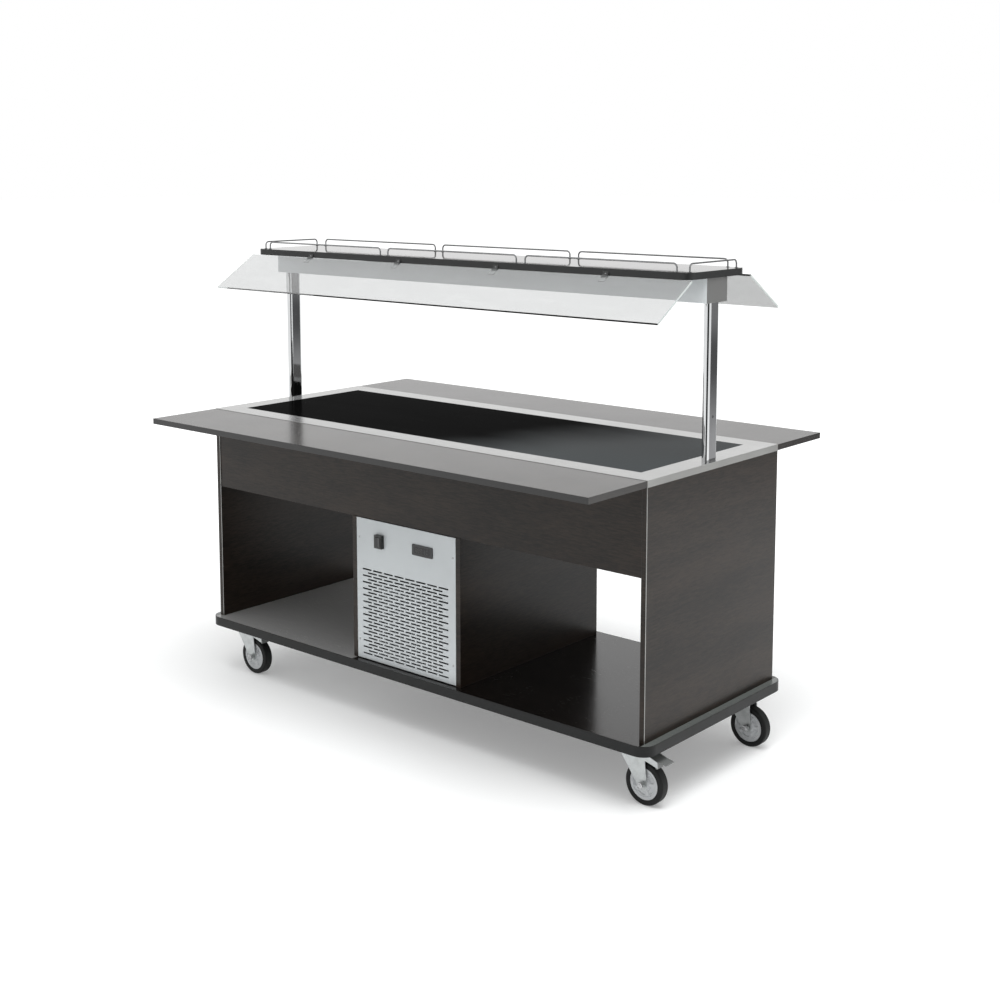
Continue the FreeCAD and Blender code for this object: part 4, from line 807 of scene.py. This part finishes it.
def digit(x, z, width, height):
    """All seven strokes of one unlit figure eight, in millimetres."""
    thick, gap, proud = 1.5, 0.5, 0.12
    strokes = [((x, z + level * height / 2), width, False) for level in (-1, 0, 1)]
    strokes += [
        ((x + side * width / 2, z + level * height / 4), height / 2, True)
        for side in (-1, 1) for level in (-1, 1)
    ]
    return [
        bar(middle, length - gap, thick, upright, proud)
        for middle, length, upright in strokes
    ]


def thermostat_display():
    """Three unlit digits and four small keys on the face of the smoked window."""
    low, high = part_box("thermostat_window")
    face = np.array([(low.x + high.x) / 2, low.y, (low.z + high.z) / 2])
    strokes = [stroke for x in (-24, -14, -4) for stroke in digit(x, 0, 6.4, 11)]
    unlit = plastic("unlit_digit", (62, 60, 58), 0.35)
    piece("thermostat_digits", [mm(strokes) + face], "carcass", "thermostat_face", unlit)
    key = turned(mm([(0, 0.5), (2.1, 0.5), (2.6, 0.3), (2.8, 0), (2.8, -0.3), (0, -0.3)]))
    keys = stood(key, face + mm([(x, 0, z) for x in (11, 22) for z in (-4.6, 4.6)]), (0, -1, 0))
    pad = plastic("key_pad", (52, 54, 55), 0.4)
    piece("thermostat_keys", [keys], "carcass", "thermostat_plastic", pad)


side_screws()
shelf_screws()
column_inserts()
rail_feet()
corner_beads()
caster_details()
thermostat_display()


# ---------------------------------------------------------------- stage and light
def ray_kinds(finish, *kinds):
    """1 for rays of any of the named kinds and 0 for all others."""
    path = finish.node("ShaderNodeLightPath").socket.node.outputs
    total = Wire(finish.tree, path[f"Is {kinds[0]} Ray"])
    for kind in kinds[1:]:
        total = total + Wire(finish.tree, path[f"Is {kind} Ray"])
    return total.reckon("MINIMUM", total, 1.0)


def studio_floor():
    """White floor that keeps shadows. Where it is seen it is a little brighter, and
    the more so the further it lies from the object."""
    finish = Finish("studio_floor")
    seen = ray_kinds(finish, "Camera", "Glossy", "Transmission")
    measure = {"operation": "LENGTH"}
    away = finish.node("ShaderNodeVectorMath", measure, {0: finish.place}, "Value")
    gain = seen * (0.22 + away.over(0.9, 3.8) * 0.45)
    diffuse = finish.node("ShaderNodeBsdfDiffuse", None, {"Color": tone(232, 233, 233)})
    glow = finish.node("ShaderNodeEmission", None, {"Color": WHITE, "Strength": gain})
    return finish.end(finish.node("ShaderNodeAddShader", None, {0: diffuse, 1: glow}))


def studio_card(name, place, width, height, foot, waist, head):
    """An upright card over place, turned to the origin, that only mirrors see: u and v
    run over it, it fades out towards its sides and its top, and its tone goes from
    foot to waist to head."""
    finish = Finish(name)
    spot = finish.node("ShaderNodeTexCoord", out="UV")
    split = finish.node("ShaderNodeSeparateXYZ", None, {0: spot})
    u, v = (Wire(finish.tree, split.socket.node.outputs[axis]) for axis in range(2))
    fade = u.over(0.0, 0.08) * (1 - u.over(0.92, 0.08)) * (1 - v.over(0.9, 0.1))
    lower = finish.blend(v.over(0.08, 0.18), foot, waist)
    colour = finish.blend(v.over(0.29, 0.07), lower, head)
    plain = finish.node("ShaderNodeEmission", None, {"Color": colour, "Strength": 1.0})
    open_air = finish.node("ShaderNodeBsdfTransparent")
    finish.end(finish.node("ShaderNodeMixShader", None, {0: fade, 1: open_air, 2: plain}))
    mesh = bpy.data.meshes.new(name)
    x, y = place
    side = np.array([-y, x, 0.0]) / math.hypot(x, y) * width / 2
    up = np.array([0.0, 0.0, height])
    base = np.array([x, y, CARD_FOOT])
    corners = [base - side, base + side, base + side + up, base - side + up]
    mesh.from_pydata([tuple(corner) for corner in corners], [], [(0, 1, 2, 3)])
    layer = mesh.uv_layers.new(name="card")
    layer.data.foreach_set("uv", [0, 0, 1, 0, 1, 1, 0, 1])
    mesh.materials.append(finish.material)
    card = bpy.data.objects.new(name, mesh)
    card.visible_camera = card.visible_diffuse = card.visible_transmission = False
    card.visible_shadow = card.visible_volume_scatter = False
    bpy.context.scene.collection.objects.link(card)


def soft_box(name, place, aim, width, depth, watts):
    """A rectangular lamp at a place, turned to a point, that mirrors don't see."""
    lamp = bpy.data.lights.new(name, "AREA")
    lamp.shape = "RECTANGLE"
    lamp.size, lamp.size_y, lamp.energy = width, depth, watts
    thing = bpy.data.objects.new(name, lamp)
    thing.location = place
    thing.rotation_euler = (Vector(aim) - Vector(place)).to_track_quat("-Z", "Y").to_euler()
    thing.visible_glossy = False
    bpy.context.scene.collection.objects.link(thing)


FLOOR_REACH = 60.0
CARD_FOOT = 0.02
WHITE = (1.0, 1.0, 1.0, 1.0)

floor_mesh = bpy.data.meshes.new("floor")
quarters = ((-1, -1), (1, -1), (1, 1), (-1, 1))
floor_corners = [(x * FLOOR_REACH, y * FLOOR_REACH, 0) for x, y in quarters]
floor_mesh.from_pydata(floor_corners, [], [(0, 1, 2, 3)])
floor_mesh.materials.append(studio_floor())
floor = bpy.data.objects.new("floor", floor_mesh)
bpy.context.scene.collection.objects.link(floor)

world = bpy.data.worlds.new("studio")
world.use_nodes = True
bpy.context.scene.world = world
sky = Finish("sky", world.node_tree)
# White where the world is seen or mirrored, and dimmer as a light.
gain = ray_kinds(sky, "Camera", "Glossy", "Transmission") * 0.35 + 0.65
surround = sky.node("ShaderNodeBackground", None, {"Color": WHITE, "Strength": gain})
sky.node("ShaderNodeOutputWorld", None, {"Surface": surround})

PALE_GREYS = tone(186, 186, 187), tone(95, 95, 96), tone(136, 136, 137)
DARK_GREYS = tone(90, 90, 91), tone(48, 49, 50), tone(60, 61, 62)
studio_card("card_beside", (2.55, 3.45), 1.9, 2.6, *PALE_GREYS)
studio_card("card_before", (3.2, -2.3), 3.5, 2.4, *DARK_GREYS)
soft_box("overhead", (1.1, -1.1, 5.2), (0, 0, 0.6), 4.5, 3.5, 290)
